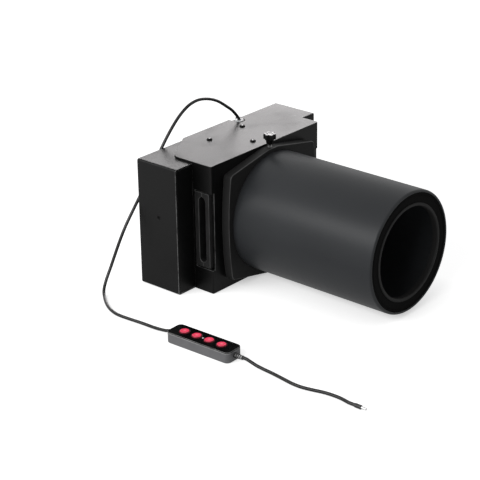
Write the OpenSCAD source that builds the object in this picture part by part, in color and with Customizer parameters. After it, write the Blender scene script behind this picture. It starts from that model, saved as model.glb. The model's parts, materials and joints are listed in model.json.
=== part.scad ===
// Film digitizing adapter: a flat light case, a film stage in front of it that takes a sliding
// film carrier, and a tube that holds the camera's lens square to the film. A lead with a small
// remote comes out of the case's top. +Z is up, the tube points along -Y, and the origin is the
// middle of the footprint of the case and the tube, on the surface that they stand on.

/* [Light case] */
// Width of the light case, side to side
case_w = 200; // [166:1:234]
// Depth of the light case, front to back
case_d = 48; // [44:1:60]
// Thickness of the case's folded sheet
sheet_t = 1.5; // [1.2:0.1:2]
// Outer radius of the case's folded edges
case_edge_r = 2; // [1.8:0.1:3]
// Seam between the tray and the panel set into its mouth
panel_gap = 0.3; // [0.2:0.05:0.5]
// How far the panel laps over the reflector box round the light window
window_lap = 10; // [4:0.5:14]
// Radius of the light window's corners
window_r = 3; // [1:0.5:6]

/* [Light source] */
// Thickness of the opal diffuser
diffuser_t = 3; // [2:0.5:4]
// Space between each side of the case and the reflector box
side_bay_w = 38; // [36:1:44]
// Space above and below the reflector box
end_bay_h = 14.5; // [12:0.5:20]
// Thickness of the reflector box's walls
reflector_wall = 2; // [1.5:0.5:3]
// Thickness of the light board and the driver board
board_t = 1.6; // [1:0.2:2]
// Spacing of the light chips
chip_pitch = 12; // [8:0.5:20]
// Least space between the outer chips and the reflector's walls
chip_margin = 8; // [4:0.5:12]
// Side of one light chip
chip_side = 3.5; // [2.8:0.1:5]
// Height of one light chip
chip_h = 0.8; // [0.5:0.1:1.2]
// Gap between the aluminium heat plate and each side of the case
heat_side_gap = 10; // [9:0.5:12]
// Gap between the aluminium heat plate and the case's top or foot
heat_end_gap = 13.5; // [11:0.5:16]
// Thickness of the aluminium heat plate
heat_t = 3; // [2:0.5:4]
// Length of the spacers behind the heat plate
spacer_l = 8; // [5:0.5:10]
// Radius of the spacers
spacer_r = 3.5; // [3:0.25:5]

/* [Film stage] */
// How far the film stage stands in from each side of the case
stage_step = 22.5; // [18:0.5:26]
// Thickness of the stage's folded sheet
stage_sheet_t = 2; // [1.5:0.1:2.5]
// Outer radius of the stage's folded corners
stage_edge_r = 1.5; // [1:0.1:3]
// Width of the stage's front wall that shows inside the tube's outline
stage_hole_inset = 6; // [5:0.5:10]
// Gap between the stage's front wall and the film carrier
carrier_front_gap = 0.5; // [0.4:0.1:1]
// Space between the film carrier and the light case
carrier_back_gap = 3.5; // [3.2:0.1:6]
// How far the side notches wrap round onto the front wall
notch_wrap = 3.4; // [3:0.1:5]
// Gap between the carrier and the notch above it
notch_gap_above = 0.5; // [0.4:0.1:1]
// Gap between the carrier and the notch below it
notch_gap_below = 2; // [0.4:0.1:3]
// Width that the tongue's rear corners are cut back
tongue_cut_w = 40; // [20:1:42]
// Length that the tongue's rear corners are cut back
tongue_cut_l = 25; // [18:1:30]
// Radius of the tongue's outer corners
tongue_corner_r = 12; // [3:0.5:14]
// Thickness of the guide rails' walls
rail_wall = 2.5; // [2:0.25:3]
// Gap between the carrier and each guide rail
rail_gap = 0.3; // [0.2:0.05:0.5]
// Height of the rails' rear lips beside the carrier
rail_lip_h = 5; // [3:0.5:6]

/* [Film carrier] */
// Width of the film that the guides hold
film_w = 61.5; // [52:0.5:72]
// Space between the film's edge and the slot's end
film_side_gap = 1.75; // [1.5:0.25:2.5]
// Width of the film's edge that the picture gate covers
gate_lap = 2.75; // [2.5:0.25:20]
// Height of the carrier above the film slot and below it
carrier_rim_h = 4.5; // [3.5:0.5:7]
// How far the carrier stands out of each side of the stage
carrier_proud = 1; // [0:0.5:4]
// Thickness of the carrier behind the film slot
carrier_rear_t = 4.5; // [3:0.5:6]
// Thickness of the carrier in front of the film slot
carrier_front_t = 4.5; // [4:0.5:8]
// Thickness of the film slot
slot_t = 8; // [6:0.5:10]
// Width of the picture gate
gate_w = 84; // [40:1:90]
// Radius of the carrier's long edges
carrier_edge_r = 1; // [0.5:0.1:1.4]
// Opening of the guides' film groove
film_groove_t = 0.8; // [0.4:0.1:1.2]

/* [Tube] */
// Outer diameter of the tube
tube_d = 116; // [98:0.5:136]
// Wall of the tube
tube_wall = 2.5; // [2:0.25:4]
// Length of tube in front of the collar plate
tube_l = 158; // [60:1:220]
// Radius of the tube's front edge
tube_edge_r = 2; // [0.5:0.25:2.4]
// Running clearance of the tube in the collar plate
tube_fit = 0.08; // [0.02:0.01:0.1]
// Thickness of the collar plate
plate_t = 9; // [7:0.5:14]
// How far the collar plate's corners stand out past the tube's side
plate_side_rim = 2; // [1:0.5:5]
// Height of the collar plate above the tube and below it; the case is as high
plate_end_rim = 4.5; // [3.5:0.5:10]
// How far the plate's sides bow outwards
plate_bow = 4; // [2:0.25:6]
// How far the plate's corners lie below its top and above its foot
plate_shoulder_h = 10.5; // [8:0.5:14]
// Width of the flats at the plate's top and foot
plate_flat_w = 14; // [12:0.5:24]
// Radius of the plate's corners
plate_corner_r = 5; // [2:0.5:8]
// Thickness of the front cap
cap_t = 5; // [4:0.5:8]
// How far the front cap lies inside the tube's end
cap_recess = 0.8; // [0.2:0.1:2]
// Width of the front cap's face, between the tube and the ring round the lens hole
cap_face_w = 9.5; // [5:0.5:16]
// Wall of the ring round the lens hole
lens_ring_wall = 3; // [2:0.5:5]
// How far the lens ring stands out of the cap
lens_ring_proud = 0.6; // [0.2:0.1:2]

/* [Clamp screw] */
// Diameter of the clamp screw
clamp_d = 4; // [3:0.5:5]
// Rise of the clamp screw for one turn
clamp_pitch = 0.7; // [0.5:0.1:0.8]
// Diameter of the clamp knob over its lobes
knob_d = 12; // [10:0.5:16]
// Height of the lobed part of the knob
knob_h = 5; // [4:0.5:10]
// Height of the knob's tapered hub
knob_hub_h = 5; // [3:0.5:8]
// Gap between the knob and the collar plate
knob_gap = 3; // [1:0.5:5]
// Number of lobes
knob_lobes = 6; // [5:1:8]

/* [Cord and remote] */
// Diameter of the cord
cord_d = 3; // [2.4:0.1:3.2]
// Diameter of the gland on the case's top
gland_d = 9.4; // [8:0.1:10]
// Height of the gland above the case
gland_h = 2.8; // [2:0.1:3.2]
// Length of the remote
remote_l = 71; // [70:1:76]
// Width of the remote
remote_w = 20; // [18:1:24]
// Height of the remote
remote_h = 10.5; // [10.5:0.5:13]
// Thickness of the remote's walls
remote_wall = 1.5; // [1.2:0.1:1.8]
// Radius of the remote's corners
remote_corner_r = 4.5; // [3:0.5:5]
// Diameter of each push button
button_d = 9; // [7:0.5:9.5]
// Spacing of the push buttons
button_pitch = 14.1; // [13.5:0.1:14.3]
// Travel of the push buttons
button_travel = 0.7; // [0.3:0.1:0.8]
// Length of the strain relief on the remote's plug side
relief_out_l = 9; // [8:0.5:10]
// Length of the strain relief on the remote's case side
relief_in_l = 5; // [4:0.5:8]
// Diameter of the plug's sleeve
plug_d = 3.8; // [3.6:0.1:4.6]
// Length of the plug's sleeve
plug_sleeve_l = 8; // [7:0.5:12]
// Diameter of the plug's pin
pin_d = 2.2; // [1.6:0.1:3]
// Length of the plug's pin
pin_l = 5; // [3:0.5:8]

/* [Hidden] */
$fn = 64;

// One overrun serves every cut, and one least radius the inner corners
over = 1;
least_r = 0.1;

// Screws: one small size and one size up, with their heads and their holes
screw_r = 1.5;
screw_gap = 0.1;
screw_hole_r = screw_r + screw_gap;
screw_head_r = 2.75;
screw_head_h = 1.5;
screw_socket_r = 1.1;
screw_socket_h = 0.8;
// Outline of a button head, as shares of its radius and of its height
head_r_shares = [1, 0.86, 0.6];
head_h_shares = [0.3, 0.72, 1];
flush_socket_share = 0.6;
flush_head_r = 2.7;
flush_head_h = 1.2;

// Sizes that follow the tube: its collar plate, the case's height and the holes on its axis
tube_r = tube_d / 2;
tube_bore_r = tube_r - tube_wall;
plate_w = tube_d + 2 * plate_side_rim;
plate_h = tube_d + 2 * plate_end_rim;
plate_side_h = plate_h - 2 * plate_shoulder_h;
case_h = plate_h;
stage_hole_r = tube_r - stage_hole_inset;
lens_ring_r = tube_bore_r - cap_face_w;
lens_hole_r = lens_ring_r - lens_ring_wall;

// Sizes that follow the case: its light source and the film stage
reflector_w = case_w - 2 * side_bay_w;
reflector_h = case_h - 2 * end_bay_h;
window_w = reflector_w - 2 * window_lap;
window_h = reflector_h - 2 * window_lap;
heat_w = case_w - 2 * heat_side_gap;
heat_h = case_h - 2 * heat_end_gap;
chip_span_gap = 2 * reflector_wall + 2 * chip_margin + chip_side;
chip_columns = 1 + floor((reflector_w - chip_span_gap) / chip_pitch);
chip_rows = 1 + floor((reflector_h - chip_span_gap) / chip_pitch);
stage_w = case_w - 2 * stage_step;

// Sizes that follow the film: the carrier, its slot and its picture gate
slot_h = film_w + 2 * film_side_gap;
gate_h = film_w - 2 * gate_lap;
carrier_h = slot_h + 2 * carrier_rim_h;

// Places along Y, from the back of the case to the front of the tube
carrier_t = carrier_rear_t + slot_t + carrier_front_t;
stage_d = stage_sheet_t + carrier_front_gap + carrier_t + carrier_back_gap;
total_d = case_d + stage_d + plate_t + tube_l;
back_y = total_d / 2;
joint_y = back_y - case_d;
stage_y = joint_y - stage_d;
plate_y = stage_y - plate_t;
front_y = -back_y;

// The optical axis runs along Y at half the height of the case
axis_z = case_h / 2;
stage_top_z = case_h + stage_sheet_t;

// Light source, stacked from the case's back wall forwards
heat_back_y = back_y - sheet_t - spacer_l;
heat_front_y = heat_back_y - heat_t;
board_front_y = heat_front_y - board_t;
panel_back_y = joint_y + sheet_t;
diffuser_back_y = panel_back_y + diffuser_t;
spacer_x = heat_w / 2 - spacer_r * 2;
spacer_z = heat_h / 2 - spacer_r * 2;
spacer_spots = [for (x = [-spacer_x, spacer_x], z = [-spacer_z, spacer_z]) [x, axis_z + z]];

// Brackets between the window panel and the tray's sides
bracket_t = 1.2;
bracket_h = 30;
bracket_foot = 9;
bracket_d = 32;
side_screw_r = 1;
side_head_r = 1.8;
side_screw_share = 0.48;
side_screw_rise = 10;
side_screw_y = joint_y + case_d * side_screw_share;
side_screw_z = axis_z + side_screw_rise;
side_screw_l = 5;

// Driver board beside the reflector box, and its components
driver_w = 22;
driver_h = 54;
driver_gap = 2;
driver_x = reflector_w / 2 + driver_gap + driver_w / 2;
coil_r = 5;
coil_h = 6;
can_r = 3;
can_h = 9;
chip_block = 7;
chip_block_h = 1.6;
socket_w = 10;
socket_h = 8;
socket_d = 7;
part_inset = 1.5;

// Gland on the case's top, near its back edge
gland_x = 33.5;
gland_from_back = 8.5;
gland_y = back_y - gland_from_back;
gland_barrel_r = 2.8;
gland_nut_r = 4.6;
gland_nut_h = 2.4;
gland_tail = 0.8;
gland_chamfer = 0.7;
gland_notch_gap = 0.8;
gland_bottom_z = case_h - sheet_t - gland_nut_h - gland_tail;
gland_top_z = case_h + gland_h;

// Screws in the tongue: two over the case and one over the stage
tongue_screw_l = 5.5;
rear_screw_x = [-25, 22];
rear_screw_back = 25.5;
rear_screw_y = joint_y + rear_screw_back;
front_screw_x = -2.5;
front_screw_ahead = 9;
front_screw_y = joint_y - front_screw_ahead;
nut_r = 3.4;
nut_h = 2.5;

// Folded ears inside the stage, screwed to the window panel from the case's side
ear_w = 9;
ear_gap = 2;
ear_screw_share = 0.28;
ear_screw_z = carrier_h * ear_screw_share;
ear_screw_x = stage_w / 2 - stage_sheet_t - ear_w / 2;

// Film carrier, and the space that the rails leave for it
carrier_l = stage_w + 2 * carrier_proud;
carrier_back_y = joint_y - carrier_back_gap;
carrier_front_y = carrier_back_y - carrier_t;
slot_mid_y = carrier_back_y - carrier_rear_t - slot_t / 2;
carrier_low_z = axis_z - carrier_h / 2;
carrier_high_z = axis_z + carrier_h / 2;
guide_inset = 12;
guide_gap = 0.1;
guide_lap = 1.4;
magnet_r = 1.5;
magnet_h = 2;
magnet_gap = 0.05;
magnet_x = carrier_l / 2 - 3 * magnet_r - guide_inset;
magnet_z = slot_h / 2 + (carrier_h - slot_h) / 4;
magnet_spots = [for (x = [-magnet_x, 0, magnet_x], z = [-magnet_z, magnet_z]) [x, axis_z + z]];

// Guide rails, clear of the plate screws' heads at the front and of the case at the back
rail_end_gap = 1;
rail_front_gap = 1.8;
rail_back_gap = 0.3;
rail_boss_r = 4;
rail_l = stage_w - 2 * stage_sheet_t - 2 * rail_end_gap;
rail_front_y = stage_y + stage_sheet_t + rail_front_gap;
rail_back_y = joint_y - rail_back_gap;
rail_lip_t = carrier_back_gap - rail_back_gap - carrier_front_gap;
rail_screw_share = 0.3;
rail_screw_x = rail_l * rail_screw_share;
rail_screw_l = 7;
rail_mid_y = (rail_front_y + rail_back_y) / 2;

// Tube, its collar plate and its front cap
tube_back_gap = 0.3;
plate_screw_in = 9.5;
plate_screw_clear = 2.25;
plate_screw_x = plate_w / 2 - plate_screw_in;
plate_screw_z = carrier_h / 2 + plate_screw_clear + screw_head_r;
plate_screw_l = 6.5;
plate_head_h = 1.3;
ring_gap = 0.05;
lens_ring_l = cap_t + lens_ring_proud;

// Clamp screw in the flat on the plate's top
clamp_y = plate_y + plate_t / 2;
clamp_fit = 0.08;
clamp_r = clamp_d / 2;
pad_rest_gap = 0.3;
pad_h = 2.2;
pad_spigot_r = clamp_r / 2;
pad_spigot_h = 1.2;
pad_bottom_z = axis_z + tube_r + pad_rest_gap;
pad_top_z = pad_bottom_z + pad_h;
stem_gap = 0.15;
knob_low_z = case_h + knob_gap;
knob_mid_z = knob_low_z + knob_hub_h;
knob_top_z = knob_mid_z + knob_h;
stem_top_z = knob_mid_z + knob_h / 2;
knob_hub_share = 0.24;
knob_lobe_share = 0.15;
knob_hub_r = knob_d * knob_hub_share;
knob_lobe_r = knob_d * knob_lobe_share;

// Remote on the floor beside the stage
remote_x = -166;
remote_y = -19.8;
remote_turn = 1.8;
remote_lid_t = 1.2;
remote_axis_z = remote_h / 2;
remote_lid_z = remote_h - remote_lid_t;
post_r = 1.5;
post_h = 1.5;
post_inset = 5;
remote_board_t = 1.2;
remote_board_gap = 1;
remote_board_end = 4;
remote_board_l = remote_l - 2 * remote_board_end;
remote_board_w = remote_w - 2 * (remote_wall + remote_board_gap);
remote_board_z = remote_wall + post_h;
remote_board_top_z = remote_board_z + remote_board_t;
dome_side = 6;
dome_h = 2;
dome_plunger_r = 1.6;
dome_plunger_h = 0.4;
dome_top_z = remote_board_top_z + dome_h + dome_plunger_h;
button_first = 22;
button_side = 0.25;
button_places = [for (i = [0:3]) [button_side, button_first - i * button_pitch]];
button_gap = 0.3;
button_proud = 0.9;
button_flange_w = 0.7;
button_flange_h = 0.8;
button_lift_gap = 0.15;
button_edge_r = 0.5;
button_press_gap = 0.1;
button_stem_r = 1.8;
button_r = button_d / 2;
button_flange_z = remote_lid_z - button_lift_gap - button_flange_h;
light_r = 0.75;
light_gap = 0.05;
light_proud = 0.05;
light_place = (button_places[1] + button_places[2]) / 2;
relief_r = 2.5;
relief_tip_r = 2;
relief_neck_r = 1.7;
relief_flange_r = 2.4;
relief_flange_t = 1;
relief_neck_gap = 0.1;
relief_rib_l = 2;
relief_rib_share = 0.6;
relief_tip_l = 1;

// Plug at the cord's end, lying on the floor
plug_x = -164.4;
plug_y = -183.5;
plug_taper_l = 2.5;

// Routes of the cords: each point is on the cord's own middle line. Behind the case, its Y is
// counted from the case's back, and its height follows the case's
cord_case_h = 125;
function by_case(x, from_back, z) = [x, back_y + from_back, z * case_h / cord_case_h];
function at_remote(y, z) = [
    remote_x - y * sin(remote_turn), remote_y + y * cos(remote_turn), z];
cord_r = cord_d / 2;
relief_in_end = remote_l / 2 + relief_in_l;
relief_out_end = remote_l / 2 + relief_out_l;
relief_run = 4;
relief_sag = 0.8;
cord_a_points = concat([
    [gland_x, gland_y, gland_top_z], by_case(30.5, -8.5, 132), by_case(24, -8, 139.5),
    by_case(14.5, -7.5, 147), by_case(4.5, -7, 154), by_case(-7, -6, 159),
    by_case(-19.5, -5, 161.3), by_case(-30.5, -3.5, 159.2), by_case(-39, -2, 154),
    by_case(-46.5, -0.5, 147), by_case(-54.5, 1, 137.5), by_case(-62, 2.5, 127),
    by_case(-70.5, 3.5, 115), by_case(-79, 4, 103), by_case(-87, 4.5, 92), by_case(-95, 5, 82),
    by_case(-103.5, 5.5, 71.5), by_case(-111, 6.5, 61), by_case(-117.5, 8, 49),
    by_case(-123.5, 9.5, 36), by_case(-129.5, 10.5, 23.5), by_case(-136, 10.5, 13),
    by_case(-142.5, 8, 5), by_case(-149, 1, 1.5), [-157, 109.5, 1.5], [-163.5, 98, 1.5],
    [-167, 86, 1.5], [-167, 73.5, 1.5], [-166, 60, 1.5], [-165.5, 47, 1.5], [-166.2, 36, 2.4]],
    [
        at_remote(relief_in_end + relief_run, remote_axis_z - relief_sag),
        at_remote(relief_in_end, remote_axis_z)]);
cord_b_points = concat(
    [
        at_remote(-relief_out_end, remote_axis_z),
        at_remote(-relief_out_end - relief_run, remote_axis_z)], [
    [-164, -78, 2.6], [-164, -89, 1.5], [-165, -99.5, 1.5], [-166.5, -110, 1.5], [-168, -121, 1.5],
    [-168, -131, 1.5], [-166, -141, 1.5], [-163.5, -150.5, 1.5], [-162.3, -160, 1.5],
    [-162.7, -169.5, 1.7], [plug_x, -178, plug_d / 2], [plug_x, plug_y, plug_d / 2]]);
lead_drop_z = gland_bottom_z - 4;
lead_gap = 3;
lead_front_y = board_front_y - lead_gap;
lead_third = (driver_x - gland_x) / 3;
lead_points = [
    [gland_x, gland_y, gland_bottom_z], [gland_x, gland_y, gland_bottom_z - 1.5],
    [gland_x + 3, gland_y - 3, lead_drop_z], [gland_x + lead_third, lead_front_y, lead_drop_z],
    [driver_x - lead_third, lead_front_y, lead_drop_z],
    [driver_x - 4, lead_front_y, lead_drop_z - 3],
    [driver_x, lead_front_y, lead_drop_z - 10],
    [driver_x, lead_front_y, axis_z + driver_h / 2]];
lead_r = 1;
cord_sides = 8;

// Colours, as the photograph shows them
black_coat = [0.07, 0.07, 0.07];
black_matte = [0.1, 0.1, 0.11];
tube_black = [0.16, 0.16, 0.17];
screw_black = [0.05, 0.05, 0.05];
steel = [0.7, 0.7, 0.72];
opal = [0.95, 0.95, 0.92];
white_wall = [0.9, 0.9, 0.9];
board_green = [0.1, 0.35, 0.2];
remote_grey = [0.4, 0.4, 0.41];
button_red = [0.9, 0.25, 0.35];

// Points of a circular arc that rounds the corner p between a and b
function unit(v) = v / norm(v);
function corner_arc(a, p, b, r, steps) =
    let (
        to_a = unit(a - p),
        to_b = unit(b - p),
        half = acos(to_a * to_b) / 2,
        middle = p + unit(to_a + to_b) * (r / sin(half)),
        first = p + to_a * (r / tan(half)) - middle,
        side = cross(to_b, to_a) > 0 ? 1 : -1,
        sweep = side * (180 - 2 * half))
    [for (i = [0:steps])
        let (turn = sweep * i / steps)
        middle + [
            first[0] * cos(turn) - first[1] * sin(turn),
            first[0] * sin(turn) + first[1] * cos(turn)]];

// Smooth route: one more point halfway along each stretch, none of them below the floor
function between(p, i) =
    let (
        a = p[max(i - 1, 0)],
        b = p[i],
        c = p[i + 1],
        d = p[min(i + 2, len(p) - 1)])
    (b + c) * (9 / 16) - (a + d) / 16;
function smooth(p, floor_z) = [
    for (i = [0:len(p) - 1], half = [0, 1])
        if (half == 0 || i < len(p) - 1)
            let (q = half == 0 ? p[i] : between(p, i))
            [q[0], q[1], max(q[2], floor_z)]];

// Round tube swept along a route, its sides carried along without twist
function along(p, i) = unit(p[min(i + 1, len(p) - 1)] - p[max(i - 1, 0)]);
function square_to(v, t) = unit(v - t * (v * t));
module swept_tube(p, r, sides) {
    last = len(p) - 1;
    normals = [
        for (i = 0, n = square_to([1, 1, 0], along(p, 0)); i <= last;
            i = i + 1, n = i <= last ? square_to(n, along(p, i)) : n) n];
    points = [
        for (i = [0:last], k = [0:sides - 1])
            let (
                n = normals[i],
                b = cross(along(p, i), n),
                turn = 360 * k / sides)
            p[i] + (n * cos(turn) + b * sin(turn)) * r];
    walls = [
        for (i = [0:last - 1], k = [0:sides - 1])
            let (next = (k + 1) % sides)
            each [
                [i * sides + k, (i + 1) * sides + k, (i + 1) * sides + next],
                [i * sides + k, (i + 1) * sides + next, i * sides + next]]];
    first_end = [for (k = [0:sides - 1]) k];
    last_end = [for (k = [sides - 1:-1:0]) last * sides + k];
    polyhedron(points, concat([first_end], walls, [last_end]), convexity = 10);
}

// Flat shapes
module rounded_rect(w, h, r) {
    square([w - 2 * r, h], center = true);
    square([w, h - 2 * r], center = true);
    for (x = [-1, 1], y = [-1, 1])
        translate([x * (w / 2 - r), y * (h / 2 - r)]) circle(r);
}
module oblong(w, h) {
    square([w, h - w], center = true);
    for (y = [-1, 1]) translate([0, y * (h - w) / 2]) circle(w / 2);
}

// Stands a flat shape up across the Y axis, from y0 to y1
module across_y(y0, y1) {
    translate([0, y1, 0]) rotate([90, 0, 0]) linear_extrude(y1 - y0) children();
}
// A round bar along Y
module bar_y(r, y0, y1) {
    across_y(y0, y1) circle(r);
}
// A block between two corners
module block(low, high) {
    translate(low) cube(high - low);
}

// Screws: the head's underside or face lies on z = 0 and the shank goes down
module button_screw(length) {
    difference() {
        union() {
            rotate_extrude() polygon(concat(
                [[0, 0], [screw_head_r, 0]],
                [for (i = [0:2]) [screw_head_r * head_r_shares[i], screw_head_h * head_h_shares[i]]],
                [[0, screw_head_h]]));
            translate([0, 0, -length]) cylinder(r = screw_r, h = length + screw_head_h / 2);
        }
        translate([0, 0, screw_head_h - screw_socket_h])
            cylinder(r = screw_socket_r, h = screw_socket_h + over, $fn = 6);
    }
}
module flush_screw(length, head_r, head_h, shank_r) {
    difference() {
        union() {
            translate([0, 0, -head_h]) cylinder(r1 = shank_r, r2 = head_r, h = head_h);
            translate([0, 0, -length]) cylinder(r = shank_r, h = length - head_h / 2);
        }
        translate([0, 0, -head_h / 2])
            cylinder(r = shank_r * flush_socket_share, h = head_h + over, $fn = 6);
    }
}
module flush_hole(length, head_r, head_h, shank_r) {
    translate([0, 0, -head_h])
        cylinder(r1 = shank_r + screw_gap, r2 = head_r + screw_gap, h = head_h);
    cylinder(r = head_r + screw_gap, h = over);
    translate([0, 0, -length]) cylinder(r = shank_r + screw_gap, h = length);
}

// Light case: folded tray, open towards the stage
module case_tray() color(black_coat) {
    inner_r = case_edge_r - sheet_t;
    difference() {
        translate([0, 0, axis_z]) across_y(joint_y, back_y) rounded_rect(case_w, case_h, case_edge_r);
        translate([0, 0, axis_z]) across_y(joint_y - over, back_y - sheet_t)
            rounded_rect(case_w - 2 * sheet_t, case_h - 2 * sheet_t, inner_r);
        translate([gland_x, gland_y, case_h - sheet_t - over])
            cylinder(r = gland_barrel_r + screw_gap, h = sheet_t + 2 * over);
        for (x = rear_screw_x) translate([x, rear_screw_y, case_h - sheet_t - over])
            cylinder(r = screw_hole_r, h = sheet_t + 2 * over);
        for (spot = spacer_spots) translate([spot[0], back_y, spot[1]]) rotate([-90, 0, 0])
            flush_hole(sheet_t + over, flush_head_r, flush_head_h, screw_r);
        for (side = [-1, 1]) translate([side * case_w / 2, side_screw_y, side_screw_z])
            rotate([0, side * 90, 0]) flush_hole(sheet_t + over, side_head_r, flush_head_h, side_screw_r);
    }
}

// Panel set into the tray's mouth, with the light window
module window_panel() color(black_coat) {
    inset = 2 * (sheet_t + panel_gap);
    difference() {
        translate([0, 0, axis_z]) across_y(joint_y, panel_back_y)
            square([case_w - inset, case_h - inset], center = true);
        translate([0, 0, axis_z]) across_y(joint_y - over, panel_back_y + over)
            rounded_rect(window_w, window_h, window_r);
        for (x = [-ear_screw_x, ear_screw_x], z = [-ear_screw_z, ear_screw_z])
            translate([x, 0, axis_z + z]) bar_y(screw_hole_r, joint_y - over, panel_back_y + over);
    }
}

// L brackets on the panel's back, one beside each side of the tray
module frame_brackets() color(steel) {
    outer_x = case_w / 2 - sheet_t;
    for (side = [0, 1]) mirror([side, 0, 0]) difference() {
        translate([0, 0, side_screw_z - bracket_h / 2]) linear_extrude(bracket_h) polygon([
            [outer_x, panel_back_y], [outer_x, panel_back_y + bracket_d],
            [outer_x - bracket_t, panel_back_y + bracket_d],
            [outer_x - bracket_t, panel_back_y + bracket_t],
            [outer_x - bracket_foot, panel_back_y + bracket_t],
            [outer_x - bracket_foot, panel_back_y]]);
        translate([outer_x - bracket_t - over, side_screw_y, side_screw_z]) rotate([0, 90, 0])
            cylinder(r = side_screw_r + screw_gap, h = bracket_t + 2 * over);
    }
}

module side_screws() color(screw_black) {
    for (side = [-1, 1]) translate([side * case_w / 2, side_screw_y, side_screw_z])
        rotate([0, side * 90, 0]) flush_screw(side_screw_l, side_head_r, flush_head_h, side_screw_r);
}

// Aluminium plate that carries the light board and takes its heat
module heat_plate() color(steel) {
    difference() {
        translate([0, 0, axis_z]) across_y(heat_front_y, heat_back_y)
            square([heat_w, heat_h], center = true);
        for (spot = spacer_spots) translate([spot[0], 0, spot[1]])
            bar_y(screw_hole_r, heat_front_y - over, heat_back_y + over);
    }
}

module heat_spacers() color(steel) {
    for (spot = spacer_spots) translate([spot[0], 0, spot[1]]) difference() {
        bar_y(spacer_r, heat_back_y, back_y - sheet_t);
        bar_y(screw_hole_r, heat_back_y - over, back_y - sheet_t + over);
    }
}

module back_screws() color(screw_black) {
    length = sheet_t + spacer_l + heat_t;
    for (spot = spacer_spots) translate([spot[0], back_y, spot[1]]) rotate([-90, 0, 0])
        flush_screw(length, flush_head_r, flush_head_h, screw_r);
}

module led_board() color(white_wall) {
    translate([0, 0, axis_z]) across_y(board_front_y, heat_front_y)
        square([reflector_w, reflector_h], center = true);
}

module led_chips() color("khaki") {
    for (i = [0:chip_columns - 1], k = [0:chip_rows - 1])
        translate([
            (i - (chip_columns - 1) / 2) * chip_pitch, 0,
            axis_z + (k - (chip_rows - 1) / 2) * chip_pitch])
            across_y(board_front_y - chip_h, board_front_y) square(chip_side, center = true);
}

// White walls between the light board and the diffuser
module reflector_box() color(white_wall) {
    translate([0, 0, axis_z]) across_y(diffuser_back_y, board_front_y) difference() {
        square([reflector_w, reflector_h], center = true);
        square([reflector_w - 2 * reflector_wall, reflector_h - 2 * reflector_wall], center = true);
    }
}

module diffuser() color(opal) {
    translate([0, 0, axis_z]) across_y(panel_back_y, diffuser_back_y)
        square([reflector_w, reflector_h], center = true);
}

module driver_board() color(board_green) {
    translate([driver_x, 0, axis_z]) across_y(board_front_y, heat_front_y)
        square([driver_w, driver_h], center = true);
}

// Coil, two capacitors, a chip and the lead's socket on the driver board
module driver_parts() {
    low_z = axis_z - driver_h / 2;
    can_z = low_z + 2 * coil_r + 2 * part_inset + can_r;
    color("dimgray") translate([driver_x, 0, low_z + part_inset + coil_r])
        bar_y(coil_r, board_front_y - coil_h, board_front_y);
    for (side = [-1, 1])
        color("darkslategray")
            translate([driver_x + side * (can_r + part_inset), 0, can_z])
            bar_y(can_r, board_front_y - can_h, board_front_y);
    color(screw_black) translate([driver_x, 0, axis_z + part_inset])
        across_y(board_front_y - chip_block_h, board_front_y) square(chip_block, center = true);
    color(white_wall) translate([driver_x, 0, axis_z + driver_h / 2 - socket_h / 2])
        across_y(board_front_y - socket_d, board_front_y) square([socket_w, socket_h], center = true);
}

module inner_lead() color(screw_black) {
    swept_tube(smooth(lead_points, 0), lead_r, cord_sides);
}

// Pale gland: a collar on the case's top with a threaded barrel through it
module cable_gland() color("silver") {
    translate([gland_x, gland_y, 0]) rotate_extrude() polygon([
        [0, gland_bottom_z], [gland_barrel_r, gland_bottom_z], [gland_barrel_r, case_h],
        [gland_d / 2, case_h], [gland_d / 2, gland_top_z - gland_chamfer],
        [gland_d / 2 - gland_chamfer, gland_top_z], [0, gland_top_z]]);
}

module gland_nut() color(steel) {
    translate([gland_x, gland_y, case_h - sheet_t - gland_nut_h]) difference() {
        cylinder(r = gland_nut_r, h = gland_nut_h, $fn = 6);
        translate([0, 0, -over]) cylinder(r = gland_barrel_r + screw_gap, h = gland_nut_h + 2 * over);
    }
}

// Clinch nuts under the case's top, for the tongue's two rear screws
module case_nuts() color(steel) {
    for (x = rear_screw_x) translate([x, rear_screw_y, case_h - sheet_t - nut_h]) difference() {
        cylinder(r = nut_r, h = nut_h);
        translate([0, 0, -over]) cylinder(r = screw_hole_r, h = nut_h + 2 * over);
    }
}

// Stage's plan, seen from above: its front corners are folded round
module stage_plan(inset) {
    r = max(stage_edge_r - inset, least_r);
    low_y = stage_y + inset;
    half_w = stage_w / 2 - inset;
    translate([-half_w + r, low_y]) square([2 * half_w - 2 * r, joint_y - low_y]);
    translate([-half_w, low_y + r]) square([2 * half_w, joint_y - low_y - r]);
    for (x = [-1, 1]) translate([x * (half_w - r), low_y + r]) circle(r);
}

// Tongue that runs back from the stage over the case's top, with its rear corners cut back
module tongue_plan() {
    half_w = stage_w / 2;
    front = [half_w, joint_y - over];
    outer = [half_w, back_y - tongue_cut_l];
    rear = [half_w - tongue_cut_w, back_y];
    arc = corner_arc(front, outer, rear, tongue_corner_r, 6);
    right = concat([front], arc, [rear]);
    left = [for (i = [len(right) - 1:-1:0]) [-right[i][0], right[i][1]]];
    difference() {
        polygon(concat(right, left));
        translate([gland_x, gland_y]) circle(gland_d / 2 + gland_notch_gap);
        translate([gland_x - gland_d / 2 - gland_notch_gap, gland_y]) square([
            max(half_w - tongue_cut_w - gland_x, 0) + gland_d / 2 + gland_notch_gap,
            gland_from_back + over]);
    }
}

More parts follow.
